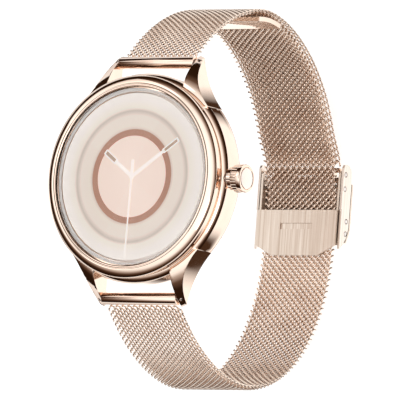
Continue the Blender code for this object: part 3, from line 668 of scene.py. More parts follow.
PALE_FRAME = Finish("moulded_frame", (0.86, 0.82, 0.79, 1), (0.78, 0.74, 0.71, 1), 0.5, 0.2, 0.0, 3e-6)
BATTERY_SKIN = Finish("battery_foil", (0.72, 0.73, 0.75, 1), (0.6, 0.61, 0.63, 1), 0.32, 0.18, 0.8, 3e-6)


@dataclass(frozen=True)
class Crystal:
    """Clear glass with the faintest marks in its gloss.

    Attributes:
        bend: index of refraction.
        smears: scale of the smears.
        dull: roughness where it is smeared most.
    """

    bend: float = 1.28
    smears: float = 120.0
    dull: float = 0.012

    def build(self) -> bpy.types.Material:
        """Make the glass.

        Returns:
            The material.
        """
        made, tree, shader = Shading.started("crystal_glass")
        shader.inputs["Base Color"].default_value = (1, 1, 1, 1)
        shader.inputs["Transmission Weight"].default_value = 1.0
        shader.inputs["IOR"].default_value = self.bend
        effect = Shading.marks(tree, self.smears)
        Shading.gloss(tree, effect.outputs["Smear"], 0.0, self.dull)
        return made


@dataclass(frozen=True)
class LitColour:
    """One lit colour of the display, with a faint grain of display dots.

    Attributes:
        name: the material's name.
        colour: the colour.
        glow: how strongly it is lit.
        grain: scale of the dots' grain.
        dim: share of the colour left in the grain.
    """

    name: str
    colour: Colour
    glow: float = 0.3
    grain: float = 400.0
    dim: float = 0.94

    def build(self) -> bpy.types.Material:
        """Make the material.

        Returns:
            The material.
        """
        made, tree, shader = Shading.started(self.name)
        shader.inputs["Roughness"].default_value = 0.35
        shader.inputs["Emission Strength"].default_value = self.glow
        effect = Shading.marks(tree, self.grain)
        dimmed = [channel * self.dim for channel in self.colour[:3]] + [1.0]
        shown = Shading.mixed(tree, effect.outputs["Smear"], self.colour, dimmed)
        tree.links.new(shown, shader.inputs["Base Color"])
        tree.links.new(shown, shader.inputs["Emission Color"])
        return made


# ---- Case ----
@dataclass
class WatchCase:
    """The middle case with its lugs, the bezel and the crystal.

    Attributes:
        wall: width of the ring at its top.
        shoulder_drop: from the case's top down to the crisp edge of its side wall.
        shoulder_round: radius of the rounded shoulder above that edge.
        side_drop: from that edge down to where the belly starts.
        belly: how far the side wall draws in by its foot.
        belly_power: how late it draws in.
        rim_width: width of the ring at its foot.
        shelf_width: from the side wall to the inner edge of the shelf that the back sits under.
        shelf_low, shelf_high: heights of the shelf's two faces.
        lug_width: thickness of a lug at its tip.
        lug_bite: how far a lug's root reaches into the ring.
        sweep: radius of the lugs' concave outer sides.
        lug_length: from the case to the end of the lugs' falling face.
        lug_top: height of the lugs where they leave the case.
        lug_back: height of the lugs' flat underside.
        fall_power: how late the falling face drops.
        bar_height: height of the spring bars.
        bends: arcs of the bezel's crown, as bent reads them.
    """

    wall: float = 3.1 * MM
    shoulder_drop: float = 0.95 * MM
    shoulder_round: float = 1.9 * MM
    side_drop: float = 1.6 * MM
    belly: float = 1.75 * MM
    belly_power: float = 4.5
    rim_width: float = 2.1 * MM
    shelf_width: float = 5.4 * MM
    shelf_low: float = 1.8 * MM
    shelf_high: float = 2.6 * MM
    lug_width: float = 1.0 * MM
    lug_bite: float = 1.4 * MM
    sweep: float = 20.0 * MM
    lug_length: float = 5.75 * MM
    lug_top: float = 7.3 * MM
    lug_back: float = 2.2 * MM
    fall_power: float = 1.7
    bar_height: float = 3.1 * MM
    bends: tuple[tuple[float, float, float], ...] = (
        (-90, 28, 0.3), (28, -28, 0.22), (-28, 10, 0.45), (10, 45, 2.4), (45, 90, 0.6))

    def ring(self) -> bpy.types.Object:
        """The turned ring of the case, with a rounded side and a stepped shoulder.

        Returns:
            The ring.
        """
        low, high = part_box("mid_case")
        radius, top, rim = high.x, high.z, low.z
        bore = radius - self.wall
        edge = top - self.shoulder_drop
        lean = math.radians(60)
        centre = (radius - self.shoulder_round * math.sin(lean), edge - self.shoulder_round * math.cos(lean))
        profile = [(bore, top)] + Bench.arc(centre, self.shoulder_round, 86, 30, 12)
        start, steps = edge - self.side_drop, 12
        for i in range(steps + 1):
            share = i / steps
            profile.append((radius - self.belly * share ** self.belly_power, start - (start - rim) * share))
        foot, shelf = radius - self.rim_width, radius - self.shelf_width
        profile += [(foot, rim), (foot, self.shelf_low), (shelf, self.shelf_low)]
        profile += [(shelf, self.shelf_high), (bore, self.shelf_high)]
        return Bench.turned("case_body", profile)

    def lug(self) -> bpy.types.Object:
        """One lug at the upper right: a block cut by a falling dome and a round sweep.

        Returns:
            The lug.
        """
        case_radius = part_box("mid_case")[1].x
        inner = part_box("upper_end_tube")[1].x + 0.3 * MM
        below, tall = Vector((0, 0, -5 * MM)), Vector((0, 0, 20 * MM))
        far_x, far_y = 19 * MM, 28 * MM
        steps, inside = 24, 0.6 * MM
        fall = self.lug_top - self.lug_back
        dome = [(0.5 * MM, self.lug_top)]
        for i in range(steps + 1):
            share = i / steps
            dome.append((case_radius - inside + (self.lug_length + inside) * share,
                         self.lug_top - fall * share ** self.fall_power))
        dome.append((0.5 * MM, self.lug_back))
        reach = case_radius + self.sweep
        centre_x = inner + self.lug_width + self.sweep
        centre_y = math.sqrt(reach ** 2 - centre_x ** 2)
        touch = centre_y * case_radius / reach
        item = Bench.block("lug", (inner, touch, self.lug_back - MM), (far_x, far_y, self.lug_top + MM))
        Bench.combine(item, Bench.turned("lug_dome", dome, FINE_STEPS), Cut.COMMON)
        foot = Vector((centre_x, centre_y, 0)) + below
        Bench.combine(item, Bench.rod("sweep", self.sweep, foot, foot + tall, 360), Cut.AWAY)
        Bench.combine(item, Bench.rod("root", case_radius - self.lug_bite, below, tall, RING_STEPS), Cut.AWAY)
        bar_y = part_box("upper_spring_bar")[1].y - 0.6 * MM
        start, end = (Vector((inner + x, bar_y, self.bar_height)) for x in (-MM, 0.95 * MM))
        Bench.combine(item, Bench.rod("hole", 0.5 * MM, start, end, 32), Cut.AWAY)
        return item

    def body(self) -> None:
        """Ring and four lugs as one polished solid."""
        item = self.ring()
        lugs = self.lug()
        mirror = lugs.modifiers.new("pair", "MIRROR")
        mirror.use_axis = (True, True, False)
        mirror.use_mirror_merge = False
        Bench.apply(lugs, mirror)
        Bench.combine(item, lugs, Cut.TOGETHER)
        low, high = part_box("crown_tube")
        radius, axis = (high.z - low.z) / 2 + 0.06 * MM, (low.z + high.z) / 2
        start, end = (Vector((x, 0, axis)) for x in (15 * MM, 24 * MM))
        Bench.combine(item, Bench.rod("bore", radius, start, end, 48), Cut.AWAY)
        Bench.tidy(item, 0.05)
        Bench.bevel(item, 0.09 * MM, 2, 38)
        Bench.smooth(item, math.radians(30))
        Bench.even_shading(item)
        Bench.fit(item, POLISHED.build(), "case", "polished_rose", "mid_case")

    @staticmethod
    def bent(bends: Sequence[tuple[float, float, float]], step: float = 5.0) -> Profile:
        """A smooth profile made of arcs that follow one another.

        Args:
            bends: (start slope, end slope, radius in millimetres) of each arc; slopes are in degrees,
                0 is level and 90 falls straight down.
            step: degrees between points.

        Returns:
            (radius, height) points from the origin outward.
        """
        points = [(0.0, 0.0)]
        for start, end, radius in bends:
            count = max(2, round(abs(end - start) / step))
            origin = points[-1]
            first, way = math.radians(start), math.copysign(radius * MM, end - start)
            for i in range(1, count + 1):
                slope = math.radians(start + (end - start) * i / count)
                points.append((origin[0] + way * (math.sin(slope) - math.sin(first)),
                               origin[1] + way * (math.cos(slope) - math.cos(first))))
        return points

    def bezel(self) -> None:
        """The polished ring round the crystal: a bead, a shallow valley and a bright inner lip."""
        low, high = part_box("bezel")
        outer, base, top = high.x, low.z, high.z
        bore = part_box("crystal")[1].x + 0.25 * MM
        crown = self.bent(self.bends)
        share = (outer - bore) / crown[-1][0]
        lift = top - max(z for _, z in crown) * share
        profile = [(bore + r * share, z * share + lift) for r, z in crown]
        profile += [(outer - 0.02 * MM, base + 0.8 * MM), (outer - 0.28 * MM, base + 0.7 * MM)]
        profile += [(outer - 0.3 * MM, base), (bore - MM, base)]
        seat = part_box("crystal")[0].z - 0.5 * MM
        profile += [(bore - MM, seat), (bore, seat)]
        item = Bench.turned("bezel_ring", profile, FINE_STEPS)
        Bench.smooth(item, math.radians(40))
        Bench.fit(item, POLISHED.build(), "case", "polished_rose", "bezel")

    def crystal(self) -> None:
        """The glass: a flat disc with a polished chamfer and softened edges."""
        low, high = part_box("crystal")
        radius, chamfer, soft, middle = high.x, 0.45 * MM, 0.06 * MM, 0.2 * MM
        profile = [(middle, high.z), (radius - chamfer - soft, high.z),
                   (radius - chamfer, high.z - 0.3 * soft),
                   (radius - soft, high.z - chamfer + soft), (radius, high.z - chamfer - soft),
                   (radius, low.z + soft), (radius - soft, low.z), (middle, low.z)]
        item = Bench.turned("crystal_glass", profile, FINE_STEPS, closed=False)
        Bench.smooth(item, math.radians(25))
        Bench.fit(item, Crystal().build(), "case", "clear_glass", "crystal")

    def build(self) -> None:
        """Make every piece of the case."""
        self.body()
        self.bezel()
        self.crystal()


# ---- Dial ----
@dataclass
class Dial:
    """What the lit display shows: a pale face with soft rings, a rose ring and three hands.

    Attributes:
        reach: radius of the face.
        ring_inner: inner radius of the rose ring.
        ring_outer: outer radius of the rose ring.
        step: radius of the soft step in the face; just inside it a thin darker line of painted shade fades
            in.
        hour, minute, second: each hand's bearing from 12 o'clock, clockwise in degrees.
        gap: from the display to its lowest layer.
        layer: from one layer to the next.
        fill: share of a layer that a piece on it takes up.
        glow: how strongly the face is lit.
    """

    reach: float = 17.0 * MM
    ring_inner: float = 8.13 * MM
    ring_outer: float = 9.42 * MM
    step: float = 13.2 * MM
    hour: float = -53.4
    minute: float = 55.1
    second: float = 181.0
    gap: float = 0.004 * MM
    layer: float = 0.018 * MM
    fill: float = 0.8
    glow: float = 0.3

    @property
    def base(self) -> float:
        """Height of the lowest layer."""
        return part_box("display_panel")[1].z + self.gap

    def face(self) -> bpy.types.Material:
        """The display's own light and colours, by distance from its centre.

        Returns:
            The material.
        """
        made, tree, shader = Shading.started("display_face")
        nodes, links = tree.nodes, tree.links
        Shading.gloss(tree, Shading.marks(tree).outputs["Smear"], 0.3, 0.42)
        place = nodes.new("ShaderNodeTexCoord")
        flat = nodes.new("ShaderNodeMapping")
        flat.inputs["Scale"].default_value = (1, 1, 0)
        links.new(place.outputs["Object"], flat.inputs["Vector"])
        away = nodes.new("ShaderNodeVectorMath")
        away.operation = "LENGTH"
        links.new(flat.outputs["Vector"], away.inputs[0])
        share = Shading.scaled(tree, away.outputs["Value"], (0.0, self.reach))
        inner, outer, step = (radius / self.reach for radius in (self.ring_inner, self.ring_outer, self.step))
        # Painted shade: the face darkens at the rose ring's outer edge and fades back out over a short way,
        # and a thin darker line fades in just inside the soft step.
        shown = Shading.ramp(tree, share, [
            (0.0, (0.90, 0.74, 0.66, 1)), (inner, (0.88, 0.71, 0.63, 1)),
            (outer, (0.64, 0.53, 0.46, 1)), (outer + 0.035, (0.78, 0.69, 0.61, 1)),
            (step - 0.06, (0.79, 0.69, 0.62, 1)), (step - 0.006, (0.57, 0.49, 0.43, 1)),
            (step + 0.025, (0.82, 0.74, 0.67, 1)), (0.9, (0.86, 0.80, 0.75, 1)),
            (1.0, (0.87, 0.82, 0.78, 1))])
        links.new(shown, shader.inputs["Base Color"])
        links.new(shown, shader.inputs["Emission Color"])
        shader.inputs["Emission Strength"].default_value = self.glow
        return made

    def plate(self, name: str, level: int, bearing: float,
              bars: Sequence[tuple[float, float, float]]) -> bpy.types.Object:
        """Thin bars along a bearing, made one solid.

        Args:
            name: the piece's name.
            level: how many layers above the display it lies.
            bearing: degrees clockwise from 12 o'clock.
            bars: (start radius, end radius, width) of each bar, in millimetres.

        Returns:
            The hand.
        """
        low = self.base + level * self.layer
        high = low + self.layer * self.fill
        parts = []
        for start, end, width in bars:
            half = width * MM / 2
            parts.append(Bench.block(name, (-half, start * MM, low), (half, end * MM, high)))
        item = parts[0]
        for part in parts[1:]:
            Bench.combine(item, part, Cut.TOGETHER)
        Bench.bevel(item, self.layer * 0.3, 1)
        Bench.settle(item, Matrix.Rotation(-math.radians(bearing), 4, "Z"))
        return item

    def ring(self) -> bpy.types.Object:
        """The flat rose ring.

        Returns:
            The ring.
        """
        top = self.base + self.layer * self.fill
        profile = [(self.ring_inner, top), (self.ring_outer, top),
                   (self.ring_outer, self.base), (self.ring_inner, self.base)]
        return Bench.turned("dial_ring", profile, FINE_STEPS)

    def hub(self) -> bpy.types.Object:
        """The low cap over the hands' centre.

        Returns:
            The cap.
        """
        low, brim, top = (self.base + level * self.layer for level in (4.1, 4.6, 4.9))
        profile = [(0.05 * MM, top), (0.42 * MM, top), (0.5 * MM, brim), (0.5 * MM, low), (0.05 * MM, low)]
        return Bench.turned("hand_hub", profile, 48, closed=False)

    def build(self) -> None:
        """Dress the display and lay the rose ring and the hands on it."""
        Insides.dress("display_panel", self.face())
        rose = LitColour("dial_rose", (0.43, 0.21, 0.14, 1)).build()
        pale = LitColour("dial_white", (0.92, 0.88, 0.85, 1), 0.36).build()
        tan = LitColour("dial_tan", (0.46, 0.33, 0.25, 1)).build()
        pieces = [
            (self.ring(), rose),
            (self.plate("second_hand", 4, self.second, [(-3.3, 16.3, 0.34), (-3.3, -0.6, 0.55)]), pale),
            (self.hub(), pale),
            (self.plate("hour_hand", 1, self.hour, [(0.2, 5.4, 0.62), (4.8, 8.35, 1.15)]), pale),
            (self.plate("minute_hand", 2, self.minute, [(0.2, 9.2, 0.62), (8.7, 12.9, 1.0)]), pale),
            (self.plate("hour_inset", 2, self.hour, [(5.2, 8.0, 0.72)]), tan),
            (self.plate("minute_inset", 3, self.minute, [(9.1, 12.55, 0.56)]), tan)]
        for item, look in pieces:
            Bench.fit(item, look, "case", "display_face")


# ---- Crown ----
@dataclass
class Crown:
    """The fluted crown with its polished rim and its pale domed inlay.

    Attributes:
        flutes: scallops round the head.
        flute: radius of each of them.
        neck_flutes: scallops round the neck.
        neck_flute: radius of each of them.
        head: length of the head.
        neck: length of the neck.
        neck_radius: radius of the neck.
        stem: radius of the stem.
        round: radius of the head's rounded edges.
    """

    flutes: int = 28
    flute: float = 0.2 * MM
    neck_flutes: int = 12
    neck_flute: float = 0.34 * MM
    head: float = 2.4 * MM
    neck: float = 1.2 * MM
    neck_radius: float = 2.3 * MM
    stem: float = 0.45 * MM
    round: float = 0.3 * MM

    @staticmethod
    def lay(item: bpy.types.Object) -> None:
        """Turn a piece modelled about Z onto the crown's axis.

        Args:
            item: the piece.
        """
        low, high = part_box("crown_knob")
        lift = Matrix.Translation((0, 0, (low.z + high.z) / 2))
        Bench.settle(item, lift @ Matrix.Rotation(math.pi / 2, 4, "Y"))

    @staticmethod
    def comb(count: int, radius: float, away: float, start: float, end: float) -> bpy.types.Object:
        """Round cutters set in a circle about Z.

        Args:
            count: how many.
            radius: each cutter's radius.
            away: from Z to the middle of each.
            start: height of their lower ends.
            end: height of their upper ends.

        Returns:
            All of them as one object.
        """
        spots = []
        for i in range(count):
            angle = 2 * math.pi * (i + 0.5) / count
            spots.append(Vector((away * math.cos(angle), away * math.sin(angle), 0)))
        low, high = Vector((0, 0, start)), Vector((0, 0, end))
        first = Bench.rod("flute", radius, spots[0] + low, spots[0] + high, 10)
        return Bench.joined([first] + [Bench.copied(first, "flute", spot - spots[0]) for spot in spots[1:]])

    def knob(self, lip: float) -> None:
        """The head, the neck and the stem in one.

        Args:
            lip: radius of the inlay's seat.
        """
        low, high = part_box("crown_knob")
        radius, end, axis = (high.z - low.z) / 2, high.x, 0.1 * MM
        head, neck = end - self.head, end - self.head - self.neck
        inset = radius - self.round
        profile = [(axis, end - 0.35 * MM), (lip + 0.1 * MM, end - 0.35 * MM),
                   (lip + 0.12 * MM, end - 0.08 * MM), (lip + 0.2 * MM, end)]
        profile += Bench.arc((inset, end - self.round), self.round, 90, 0, 6)
        profile += [(radius, end - 0.75 * MM), (radius - 0.12 * MM, end - 0.8 * MM),
                    (radius - 0.1 * MM, end - 0.9 * MM), (radius, end - 0.95 * MM)]
        profile += Bench.arc((inset, head + self.round), self.round, 0, -90, 4)
        profile += [(self.neck_radius, head), (self.neck_radius, neck + 0.15 * MM),
                    (self.neck_radius - 0.15 * MM, neck)]
        profile += [(self.stem, neck), (self.stem, low.x), (axis, low.x)]
        item = Bench.turned("crown_knob_fine", profile, 112, closed=False)
        teeth = self.comb(self.flutes, self.flute, radius + 0.05 * MM, head - 0.1 * MM, end - 1.0 * MM)
        Bench.combine(item, teeth, Cut.AWAY)
        teeth = self.comb(self.neck_flutes, self.neck_flute, self.neck_radius + 0.12 * MM,
                          neck - 0.2 * MM, head - 0.02 * MM)
        Bench.combine(item, teeth, Cut.AWAY)
        self.lay(item)
        Bench.smooth(item, math.radians(35))
        Bench.fit(item, POLISHED.build(), "crown", "polished_rose", "crown_knob")

    def inlay(self, lip: float) -> None:
        """The pale dome in the head.

        Args:
            lip: radius of its seat.
        """
        end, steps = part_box("crown_knob")[1].x, 12
        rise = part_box("crown_inset")[1].x - end
        dome = [(lip - 0.05 * MM, end - 0.25 * MM), (lip - 0.05 * MM, end - 0.05 * MM)]
        for i in range(steps, 0, -1):
            dome.append((lip * i / steps, end + rise * (1 - (i / steps) ** 2)))
        item = Bench.turned("crown_inlay", dome, 96, closed=False)
        self.lay(item)
        Bench.smooth(item, math.radians(40))
        Bench.fit(item, BRIGHT.build(), "crown", "crown_inlay", "crown_inset")

    def build(self) -> None:
        """Make the knob and its inlay."""
        low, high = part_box("crown_knob")
        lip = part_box("crown_inset")[1].z - (low.z + high.z) / 2
        self.knob(lip)
        self.inlay(lip)


# ---- Woven straps ----
class StrapLine:
    """The centre line of a packed strap, read from its two faces and made longer at both ends.

    Attributes:
        spare: how much longer it is made at each end.
        points: (y, z) of each of its points.
        reach: length along it to each point.
    """

    spare: float = 2 * MM

    def __init__(self, node: str) -> None:
        """Pair the strap's two faces and chain the midpoints from the spring bar on.

        Args:
            node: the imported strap.
        """
        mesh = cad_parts[node].data
        points = np.array([v.co for v in mesh.vertices])
        near = 0.01 * MM
        side = points[points[:, 0] > points[:, 0].max() - near][:, 1:]
        side = np.unique(np.round(side, 6), axis=0)
        gaps = np.linalg.norm(side[:, None] - side[None], axis=2)
        gaps[gaps < near] = 1.0
        mates = gaps.argmin(axis=1)
        pairs = {tuple(sorted((i, int(m)))) for i, m in enumerate(mates) if mates[m] == i}
        middle = [(side[i] + side[m]) / 2 for i, m in sorted(pairs)]
        chain = [max(middle, key=lambda p: p[1])]
        rest = [p for p in middle if p is not chain[0]]
        while rest:
            nearest = min(rest, key=lambda p: np.linalg.norm(p - chain[-1]))
            chain.append(nearest)
            rest = [p for p in rest if p is not nearest]
        curve = self.rounded(np.array(chain))
        lead, trail = curve[0] - curve[1], curve[-1] - curve[-2]
        curve = np.vstack([curve[0] + lead / np.linalg.norm(lead) * self.spare, curve,
                           curve[-1] + trail / np.linalg.norm(trail) * self.spare])
        self.points: np.ndarray = curve
        steps = np.linalg.norm(np.diff(self.points, axis=0), axis=1)
        self.reach: np.ndarray = np.concatenate([[0.0], np.cumsum(steps)])

    @staticmethod
    def rounded(points: np.ndarray, fine: int = 12) -> np.ndarray:
        """A smooth curve through points.

        Args:
            points: the points.
            fine: steps between each two of them.

        Returns:
            The curve's points.
        """
        padded = np.vstack([2 * points[0] - points[1], points, 2 * points[-1] - points[-2]])
        result = []
        for i in range(1, len(padded) - 2):
            a, b, c, d = padded[i - 1:i + 3]
            for k in range(fine):
                t = k / fine
                result.append(0.5 * (2 * b + (c - a) * t + (2 * a - 5 * b + 4 * c - d) * t * t
                                     + (3 * b - a - 3 * c + d) * t ** 3))
        return np.array(result + [points[-1]])

    @property
    def length(self) -> float:
        """The strap's own length."""
        return float(self.reach[-1]) - 2 * self.spare

    def bend(self, flat: np.ndarray) -> np.ndarray:
        """Bend flat coordinates round the line.

        Args:
            flat: (across, along, height) of each point, along being 0 at the strap's own end.

        Returns:
            The same points in the frame.
        """
        along = flat[:, 1] + self.spare
        y = np.interp(along, self.reach, self.points[:, 0])
        z = np.interp(along, self.reach, self.points[:, 1])
        ahead = np.gradient(self.points, self.reach, axis=0)
        ahead /= np.linalg.norm(ahead, axis=1)[:, None]
        dy = np.interp(along, self.reach, ahead[:, 0])
        dz = np.interp(along, self.reach, ahead[:, 1])
        size = np.hypot(dy, dz)
        return np.stack([flat[:, 0], y - dz / size * flat[:, 2], z + dy / size * flat[:, 2]], axis=1)


@dataclass
class WovenStrap:
    """Woven wire: rows of flattened coils across the strap, each half a turn beside the last.

    Attributes:
        node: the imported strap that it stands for.
        body: the body that it rides on.
        lead: from the strap's first end to the middle of its first row.
        trail: from the middle of its last row to the strap's other end.
        thickness: of the woven strap.
        wire: radius of the wire.
        row: spacing of the rows along the strap.
        turns: turns of each row across the strap.
        swing: how far a coil reaches along the strap from its row's middle.
        sides: faces round the wire.
        steps: points on each turn.
    """

    node: str
    body: str
    lead: float
    trail: float
    thickness: float = 1.25 * MM
    wire: float = 0.225 * MM
    row: float = 0.62 * MM
    turns: int = 12
    swing: float = 0.54 * MM
    sides: int = 6
    steps: int = 10

    def coil(self, pitch: float) -> bpy.types.Object:
        """One row's coil, turned round X and flattened.

        Args:
            pitch: length of one turn across the strap.

        Returns:
            The coil, centred on the origin.
        """
        Bench.clear()
        start = (-pitch * self.turns / 2, self.swing, 0)
        bpy.ops.mesh.primitive_circle_add(vertices=self.sides, radius=self.wire, location=start)
        item = bpy.context.object
        Bench.settle(item)
        screw = item.modifiers.new("coil", "SCREW")
        screw.axis = "X"
        screw.angle = -2 * math.pi * self.turns
        screw.screw_offset = pitch * self.turns
        screw.steps = screw.render_steps = round(self.steps * self.turns)
        screw.use_merge_vertices = False
        Bench.apply(item, screw)
        Bench.hold(item)
        bpy.ops.object.mode_set(mode="EDIT")
        bpy.ops.mesh.select_all(action="SELECT")
        lift = self.thickness / 2 - self.wire
        bpy.ops.transform.resize(value=(1, 1, lift / self.swing), center_override=(0, 0, 0))
        bpy.ops.mesh.fill_holes(sides=0)
        bpy.ops.mesh.select_all(action="SELECT")
        bpy.ops.mesh.normals_make_consistent(inside=False)
        bpy.ops.object.mode_set(mode="OBJECT")
        return item

    def stretch(self, name: str, pitch: float, row: float, pairs: int) -> bpy.types.Object:
        """A flat stretch of the weave.

        Args:
            name: the piece's name.
            pitch: length of one turn across the strap.
            row: spacing of the rows.
            pairs: rows to weave, two at a time.

        Returns:
            The flat stretch, its first row on X.
        """
        item = self.coil(pitch)
        beside = Bench.copied(item, "beside", (pitch / 4, row, 0))
        item.data.transform(Matrix.Translation((-pitch / 4, 0, 0)))
        Bench.joined([item, beside])
        item.name = name
        array = item.modifiers.new("rows", "ARRAY")
        array.use_relative_offset = False
        array.use_constant_offset = True
        array.constant_offset_displace = (0, 2 * row, 0)
        array.count = pairs
        Bench.apply(item, array)
        return item

    def build(self, parts: int = 1) -> None:
        """Weave the strap flat and bend it round its line.

        Args:
            parts: how many pieces it is split into along its length.
        """
        low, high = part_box(self.node)
        line = StrapLine(self.node)
        pitch = (high.x - low.x - 2 * self.wire) / (self.turns + 0.5)
        room = line.length - self.lead - self.trail
        pairs = int(room / self.row / 2)
        row = room / (2 * pairs - 1)
        first = 0
        for part in range(parts):
            count = pairs // parts + (1 if part < pairs % parts else 0)
            name = self.node.replace("_mesh", "_weave") + (f"_{part + 1}" if parts > 1 else "")
            item = self.stretch(name, pitch, row, count)
            flat = np.zeros(len(item.data.vertices) * 3)
            item.data.vertices.foreach_get("co", flat)
            flat = flat.reshape(-1, 3)
            flat[:, 1] += self.lead + 2 * row * first
            item.data.vertices.foreach_set("co", line.bend(flat).ravel())
            item.data.update()
            first += count
            Bench.smooth(item, math.radians(80))
            Bench.fit(item, WIRE.build(), self.body, "woven_rose", self.node)


@dataclass
class StrapEnds:
    """The two folded tubes that hold the straps' ends on their spring bars.

    Attributes:
        bore: radius of the hole for the spring bar.
        seam_width: width of the slit where the tube's metal meets.
        seam_depth: depth of that slit.
        edge: how wide the edges are rounded.
    """

    bore: float = 0.75 * MM
    seam_width: float = 0.18 * MM
    seam_depth: float = 0.26 * MM
    edge: float = 0.05 * MM

    def build(self) -> None:
        """Make the upper tube with its seam, its bore and rounded ends, and copy it for the lower one."""
        low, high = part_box("upper_end_tube")
        middle = (low + high) / 2
        start, end = Vector((low.x, middle.y, middle.z)), Vector((high.x, middle.y, middle.z))
        upper = Bench.rod("upper_end_tube_fine", (high.z - low.z) / 2, start, end, 72)
        reach, half = Vector((MM, 0, 0)), self.seam_width / 2
        Bench.combine(upper, Bench.rod("bore", self.bore, start - reach, end + reach, 48), Cut.AWAY)
        seam = Bench.block("seam", (low.x - MM, middle.y - half, high.z - self.seam_depth),
                           (high.x + MM, middle.y + half, high.z + MM))
        Bench.combine(upper, seam, Cut.AWAY)
        Bench.bevel(upper, self.edge, 2, 40)
        Bench.smooth(upper)
        other_low, other_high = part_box("lower_end_tube")
        lower = Bench.copied(upper, "lower_end_tube_fine", (other_low + other_high) / 2 - middle)
        Bench.fit(upper, POLISHED.build(), "upper_strap", "polished_rose", "upper_end_tube")
        Bench.fit(lower, POLISHED.build(), "lower_strap", "polished_rose", "lower_end_tube")


# ---- Plain pieces with softened edges ----
@dataclass(frozen=True)
class Dressed:
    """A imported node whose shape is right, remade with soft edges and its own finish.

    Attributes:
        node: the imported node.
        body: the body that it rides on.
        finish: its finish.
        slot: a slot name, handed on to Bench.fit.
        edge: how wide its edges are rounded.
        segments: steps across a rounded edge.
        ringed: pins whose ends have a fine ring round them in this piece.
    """

    node: str
    body: str
    finish: Finish
    slot: str
    edge: float = 0.06 * MM
    segments: int = 2
    ringed: tuple[str, ...] = ()

    @staticmethod
    def groove(item: bpy.types.Object, pin: str) -> None:
        """Cut a fine ring into a clasp wall round each pin end that reaches it.

        Args:
            item: the clasp's frame.
            pin: a packed pin that lies along X.
        """
        low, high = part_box(pin)
        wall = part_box("clasp_frame")
        middle = (low + high) / 2
        radius = (high.z - low.z) / 2 + 0.14 * MM
        for side, edge, tip in ((1, wall[1].x, high.x), (-1, wall[0].x, low.x)):
            if abs(tip - edge) > 0.5 * MM:
                continue
            end = Vector((edge + side * MM, middle.y, middle.z))
            start = Vector((edge - side * 0.16 * MM, middle.y, middle.z))
            Bench.combine(item, Bench.rod("groove", radius, start, end, 40), Cut.AWAY)

    def build(self) -> None:
        """Make the refined copy and dress it."""
        item = Bench.refined(self.node, self.edge, self.segments)
        for pin in self.ringed:
            self.groove(item, pin)
        Bench.fit(item, self.finish.build(), self.body, self.slot, self.node)


PINS = ("catch_bar", "lower_bar", "guide_rivet_left", "guide_rivet_right", "lever_pin_left",
        "lever_pin_right")
DRESSED = [
    Dressed("lock_lever", "lever", BRUSHED_Y, "brushed_rose", 0.07 * MM),
    Dressed("clasp_frame", "lower_strap", SATIN_WALL, "brushed_rose", ringed=PINS),
    Dressed("clasp_cover", "cover", BRUSHED_Y, "brushed_rose", 0.07 * MM),
    Dressed("upper_end_clip", "upper_strap", POLISHED, "polished_rose", 0.05 * MM),
    Dressed("tail_tip", "lower_strap", POLISHED, "polished_rose", 0.12 * MM, 3),
    Dressed("hook", "hook", PIN_STEEL, "bare_steel", 0.05 * MM),
    Dressed("hook_pin", "upper_strap", PIN_STEEL, "bare_steel", 0.04 * MM),
    *[Dressed(pin, "lower_strap", PIN_STEEL, "bare_steel") for pin in PINS],
    Dressed("case_back", "case", BRUSHED_BACK, "brushed_rose", 0.05 * MM),
]


class Insides:
    """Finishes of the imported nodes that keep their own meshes."""

    @staticmethod
    def circuit() -> bpy.types.Material:
        """Green board with pale raised traces.

        Returns:
            The material.
        """
        made, tree, shader = Shading.started("circuit_board")
        place = tree.nodes.new("ShaderNodeTexCoord")
        tracks = tree.nodes.new("ShaderNodeTexBrick")
        looks = {"Scale": 600.0, "Mortar Size": 0.03, "Color1": (0.02, 0.14, 0.07, 1),
                 "Color2": (0.03, 0.18, 0.09, 1), "Mortar": (0.25, 0.42, 0.22, 1)}
        for label, value in looks.items():
            tracks.inputs[label].default_value = value
        tree.links.new(place.outputs["Object"], tracks.inputs["Vector"])
        tree.links.new(tracks.outputs["Color"], shader.inputs["Base Color"])
        Shading.gloss(tree, tracks.outputs["Fac"], 0.42, 0.25)
        Shading.relief(tree, tracks.outputs["Fac"], 2e-5, 1.0)
        return made

    @staticmethod
    def window() -> bpy.types.Material:
        """Black sensor glass with round emitters under it.

        Returns:
            The material.
        """
        made, tree, shader = Shading.started("sensor_glass")
        place = tree.nodes.new("ShaderNodeTexCoord")
        cells = tree.nodes.new("ShaderNodeTexVoronoi")
        cells.inputs["Scale"].default_value = 420.0
        cells.inputs["Randomness"].default_value = 0.0
        tree.links.new(place.outputs["Object"], cells.inputs["Vector"])
        emitter, glass = (0.09, 0.10, 0.11, 1), (0.006, 0.006, 0.008, 1)
        shown = Shading.ramp(tree, cells.outputs["Distance"], [(0.22, emitter), (0.26, glass)])
        tree.links.new(shown, shader.inputs["Base Color"])
        Shading.gloss(tree, Shading.marks(tree).outputs["Smear"], 0.05, 0.16)
        return made

    @staticmethod
    def dress(node: str, look: bpy.types.Material) -> None:
        """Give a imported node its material.

        Args:
            node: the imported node.
            look: the material.
        """
        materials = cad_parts[node].data.materials
        materials.clear()
        materials.append(look)
        LOG.info("%s: %s", node, look.name)

    @staticmethod
    def build() -> None:
        """Give every kept node its finish."""
        board, seal, gold = Insides.circuit(), SEAL_RUBBER.build(), PAD_GOLD.build()
        steel, pin = SCREW_STEEL.build(), PIN_STEEL.build()
        looks = {
            "crystal_gasket": PALE_SEAL.build(), "inner_frame": PALE_FRAME.build(), "main_board": board,
            "sensor_board": board, "battery": BATTERY_SKIN.build(), "vibration_motor": steel,
            "tact_switch": steel, "sensor_window": Insides.window(), "back_gasket": seal,
            "crown_seal": seal, "crown_tube": pin, "crown_bush": pin, "upper_spring_bar": pin,
            "lower_spring_bar": pin, "charge_contact_left": gold, "charge_contact_right": gold}
        looks.update({f"back_screw_{i}": steel for i in range(1, 5)})
        for node, look in looks.items():
            Insides.dress(node, look)


